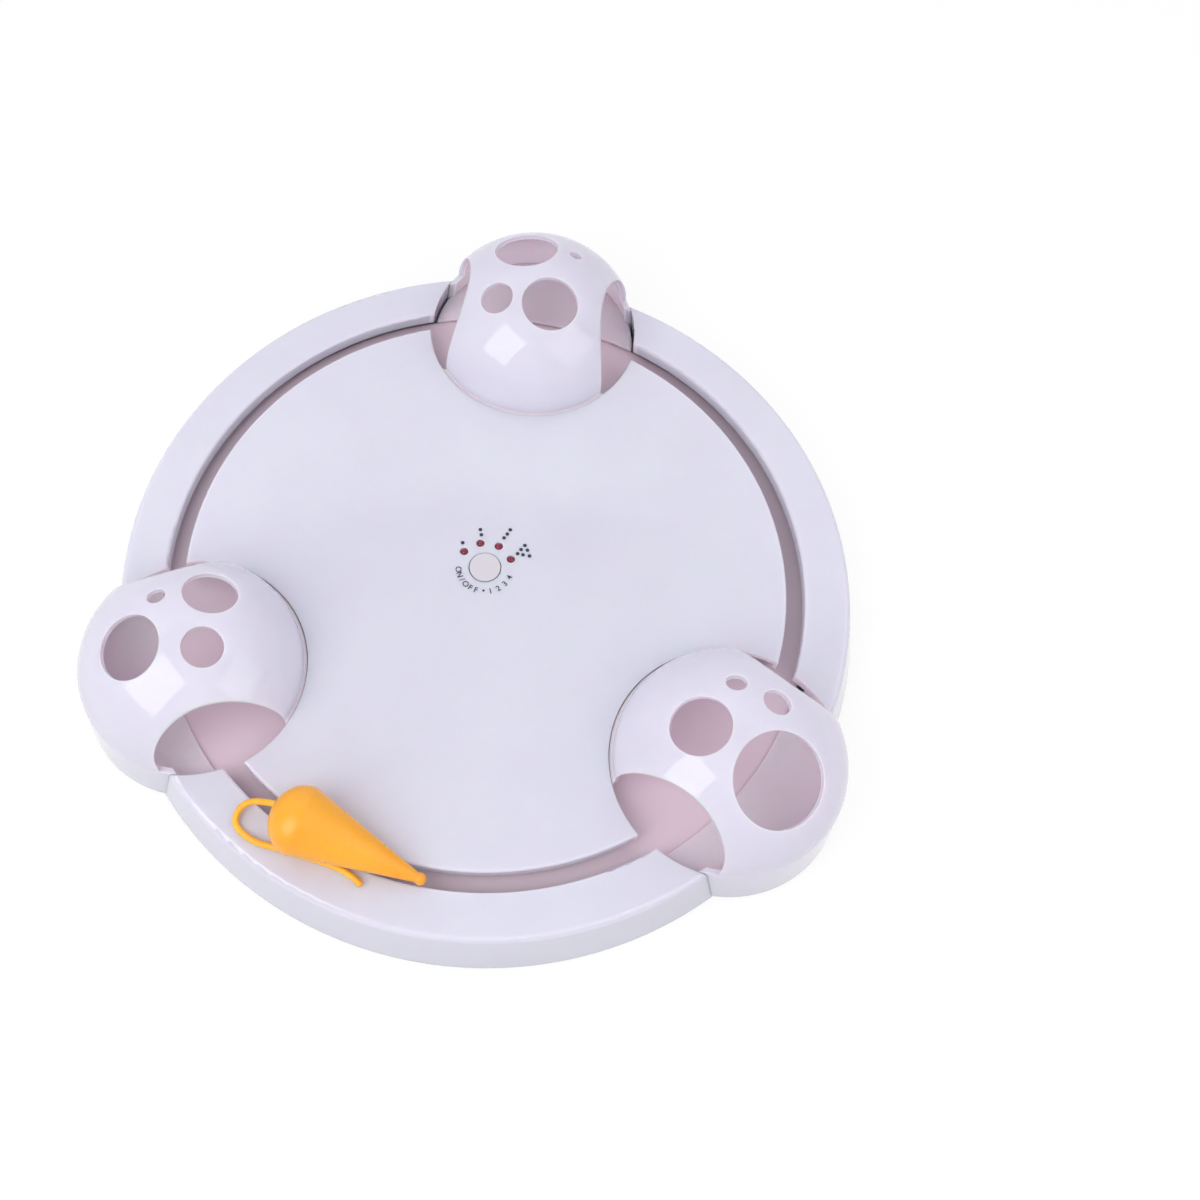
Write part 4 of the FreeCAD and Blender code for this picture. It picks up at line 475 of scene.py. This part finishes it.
INK = 0.05           # height of the printed ink above the deck, mm
INK_UNDER = 0.03     # how far the ink reaches into the deck, mm
DOT = 0.66           # radius of a printed dot, mm
SMALL_DOT = 0.62 * DOT
DOT_SIDES = 28
WORD_DOT = (1.1, -8.8)    # the small dot between the words; places are from the button's middle, mm
DOTS = [(-9.35, 7.9), (-3.5, 12.15), (-4.2, 14.1), (4.5, 12.4), (5.35, 14.1), (6.1, 15.9),
        (10.2, 7.2), (12.1, 7.1), (14.4, 7.1), (11.1, 9.0), (13.3, 9.15), (12.15, 10.8)]


def link_mesh(name, mesh, finish, body):
    """Adds a printed mesh that rides with one body."""
    thing = bpy.data.objects.new(name, mesh)
    bpy.context.scene.collection.objects.link(thing)
    mesh.materials.append(finish.material)
    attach(thing, body)


def make_dots(finish):
    """The navy dots round the lamps, as low domes of ink."""
    build = bmesh.new()
    for x, y, radius in [(*place, DOT) for place in DOTS] + [(*WORD_DOT, SMALL_DOT)]:
        centre = Vector((BUTTON[0] + x, BUTTON[1] + y, DECK_TOP))
        rings = []
        for share, height in ((1.0, -INK_UNDER), (1.0, INK * 0.4), (0.86, INK * 0.85), (0.5, INK)):
            ring = []
            for step in range(DOT_SIDES):
                angle = 2 * math.pi * step / DOT_SIDES
                offset = Vector((math.cos(angle) * radius * share, math.sin(angle) * radius * share, height))
                ring.append(build.verts.new((centre + offset) * MM))
            rings.append(ring)
        for low, high in zip(rings, rings[1:]):
            for step in range(DOT_SIDES):
                after = (step + 1) % DOT_SIDES
                build.faces.new((low[step], low[after], high[after], high[step]))
        build.faces.new(reversed(rings[0]))
        build.faces.new(rings[-1])
    mesh = bpy.data.meshes.new("deck_dots")
    build.to_mesh(mesh)
    build.free()
    link_mesh("deck_dots", mesh, finish, "base")


LETTER_TALL = 2.05    # height of the letters, mm
CAPITAL = 0.72        # height of a capital as a share of the font's size
LETTER_BOLD = 0.02    # how much their strokes are widened on each side, mm
LETTER_ARC = 9.3      # radius of the arc of letters round the button, mm
# word, and the directions of its first and last letter from the button, degrees
ARC_WORDS = [("ON/OFF", 195.5, 260.0), ("1234", 292.0, 346.0)]


def make_letters(finish):
    """ON/OFF and 1 to 4, set along the arc below the button."""
    build = bmesh.new()
    for word, first, last in ARC_WORDS:
        for index, letter in enumerate(word):
            angle = math.radians(first + (last - first) * index / (len(word) - 1))
            text = bpy.data.curves.new("letter", "FONT")
            text.body = letter
            text.align_x = "CENTER"
            text.align_y = "CENTER"
            text.size = LETTER_TALL / CAPITAL * MM
            text.offset = LETTER_BOLD * MM
            text.extrude = (INK + INK_UNDER) / 2 * MM
            text.resolution_u = 6
            thing = bpy.data.objects.new("letter", text)
            bpy.context.scene.collection.objects.link(thing)
            mesh = bpy.data.meshes.new_from_object(
                thing.evaluated_get(bpy.context.evaluated_depsgraph_get()))
            place = Matrix.Translation(Vector((BUTTON[0] + math.cos(angle) * LETTER_ARC,
                                               BUTTON[1] + math.sin(angle) * LETTER_ARC,
                                               DECK_TOP + (INK - INK_UNDER) / 2)) * MM)
            mesh.transform(place @ Matrix.Rotation(angle + math.pi / 2, 4, "Z"))
            build.from_mesh(mesh)
            bpy.data.objects.remove(thing)
            bpy.data.curves.remove(text)
            bpy.data.meshes.remove(mesh)
    bmesh.ops.remove_doubles(build, verts=build.verts, dist=1e-7)
    mesh = bpy.data.meshes.new("deck_letters")
    build.to_mesh(mesh)
    build.free()
    link_mesh("deck_letters", mesh, finish, "base")


# Floor, world and lamps

FLOOR_LIT = 0.16    # share of the floor's look that takes light and shadow


def rays_that_see(tree):
    """1 for camera, glossy and transmission rays."""
    path = tree.nodes.new("ShaderNodeLightPath")
    total = path.outputs["Is Camera Ray"]
    for name in ("Is Glossy Ray", "Is Transmission Ray"):
        total = math_node(tree, "MAXIMUM", total, path.outputs[name])
    return total


def make_floor():
    """A white floor that keeps a soft shadow and throws less light back than it shows."""
    mesh = bpy.data.meshes.new("floor")
    build = bmesh.new()
    bmesh.ops.create_circle(build, cap_ends=True, segments=96, radius=4.0)
    build.to_mesh(mesh)
    build.free()
    floor = bpy.data.objects.new("floor", mesh)
    bpy.context.scene.collection.objects.link(floor)
    material = bpy.data.materials.new("white_floor")
    material.use_nodes = True
    tree = material.node_tree
    tree.nodes.clear()
    plain = tree.nodes.new("ShaderNodeBsdfDiffuse")
    plain.inputs["Color"].default_value = (0.50, 0.50, 0.51, 1.0)
    bright = tree.nodes.new("ShaderNodeEmission")
    bright.inputs["Color"].default_value = (1.0, 1.0, 1.0, 1.0)
    bright.inputs["Strength"].default_value = 1.0
    lit = tree.nodes.new("ShaderNodeBsdfDiffuse")
    lit.inputs["Color"].default_value = (1.0, 1.0, 1.0, 1.0)
    seen = tree.nodes.new("ShaderNodeMixShader")
    seen.inputs["Fac"].default_value = FLOOR_LIT
    tree.links.new(bright.outputs[0], seen.inputs[1])
    tree.links.new(lit.outputs[0], seen.inputs[2])
    mix = tree.nodes.new("ShaderNodeMixShader")
    tree.links.new(rays_that_see(tree), mix.inputs["Fac"])
    tree.links.new(plain.outputs[0], mix.inputs[1])
    tree.links.new(seen.outputs[0], mix.inputs[2])
    out = tree.nodes.new("ShaderNodeOutputMaterial")
    tree.links.new(mix.outputs[0], out.inputs["Surface"])
    mesh.materials.append(material)


PANEL_LOW = 36.0      # height of the lower edge of the pale panel behind the toy, degrees
PANEL_HIGH = 61.6     # height of its upper edge, degrees
PANEL_SOFT = 0.12     # how softly the lower edge fades, as a share of the sky's height
PANEL_SHARP = 0.005   # how softly the upper edge fades
ROOM = 0.28           # light of the plain room
PANEL = 0.80          # what the panel adds to it
FRONT = 0.62          # what the side of the camera adds to it
LEFT = 0.18           # what the left side, toward the back, adds to it
BACK = 0.42           # what the backdrop low behind the toy adds to it
TOP = 0.22            # what the ceiling adds to it


def make_world():
    """A dim room, lighter above, on the left and on the camera's side, with a pale panel behind."""
    world = bpy.data.worlds.new("studio")
    bpy.context.scene.world = world
    world.use_nodes = True
    tree = world.node_tree
    tree.nodes.clear()

    def ranged(value, low, high, new_low, new_high):
        return range_node(tree, value, low, high, new_low, new_high, "SMOOTHSTEP")

    def times(one, other):
        return math_node(tree, "MULTIPLY", one, other)

    def plus(one, other):
        return math_node(tree, "ADD", one, other)

    where = tree.nodes.new("ShaderNodeTexCoord")
    split = tree.nodes.new("ShaderNodeSeparateXYZ")
    tree.links.new(where.outputs["Generated"], split.inputs["Vector"])
    x, y, z = (split.outputs[name] for name in "XYZ")
    high = math.sin(math.radians(PANEL_HIGH))
    low = math.sin(math.radians(PANEL_LOW))
    behind = ranged(y, 0.05, 0.30, 0.0, 1.0)
    under_top = ranged(z, high - PANEL_SHARP, high + PANEL_SHARP, 1.0, 0.0)
    over_low = ranged(z, low - PANEL_SOFT, low + PANEL_SOFT, 0.0, 1.0)
    under_low = ranged(z, low - PANEL_SOFT, low + PANEL_SOFT, 1.0, 0.0)
    parts = [times(times(times(under_top, over_low), behind), PANEL),
             times(times(under_low, behind), BACK),
             times(ranged(y, -0.35, 0.15, 1.0, 0.0), FRONT),
             times(ranged(plus(x, times(y, -1.0)), -1.0, 0.2, 1.0, 0.0), LEFT),
             times(ranged(z, 0.70, 0.98, 0.0, 1.0), TOP)]
    total = ROOM
    for part in parts:
        total = plus(part, total)
    shine = tree.nodes.new("ShaderNodeBackground")
    shine.inputs["Color"].default_value = linear(250, 250, 255)
    tree.links.new(total, shine.inputs["Strength"])
    out = tree.nodes.new("ShaderNodeOutputWorld")
    tree.links.new(shine.outputs[0], out.inputs["Surface"])


def make_lamp(name, azimuth, elevation, distance, size, power, colour):
    """A soft rectangular panel that faces the toy."""
    data = bpy.data.lights.new(name, "AREA")
    data.shape = "RECTANGLE"
    data.size, data.size_y = size
    data.energy = power
    data.color = linear(*colour)[:3]
    thing = bpy.data.objects.new(name, data)
    bpy.context.scene.collection.objects.link(thing)
    a, e = math.radians(azimuth), math.radians(elevation)
    way = Vector((math.cos(e) * math.cos(a), math.cos(e) * math.sin(a), math.sin(e)))
    thing.location = way * distance + Vector((0, AXIS_Y * MM, 0))
    thing.rotation_euler = way.to_track_quat("Z", "Y").to_euler()


# name, azimuth and elevation in degrees, distance and size in metres, power in watts, colour
LAMPS = [("left_softbox", -132.5, 48.6, 0.677, (0.38, 0.50), 1.5, (255, 253, 250)),
         ("right_softbox", -16.2, 41.5, 0.573, (0.38, 0.38), 0.5, (255, 250, 246))]


make_camera()
finishes = make_finishes()
for finish_name, members in DRESS.items():
    for member in members:
        paint(nodes[member], finishes[finish_name])
make_tail(finishes["tail"])
make_dots(finishes["print"])
make_letters(finishes["print"])
make_floor()
make_world()
for values in LAMPS:
    make_lamp(*values)
bpy.context.scene.view_settings.view_transform = "Standard"
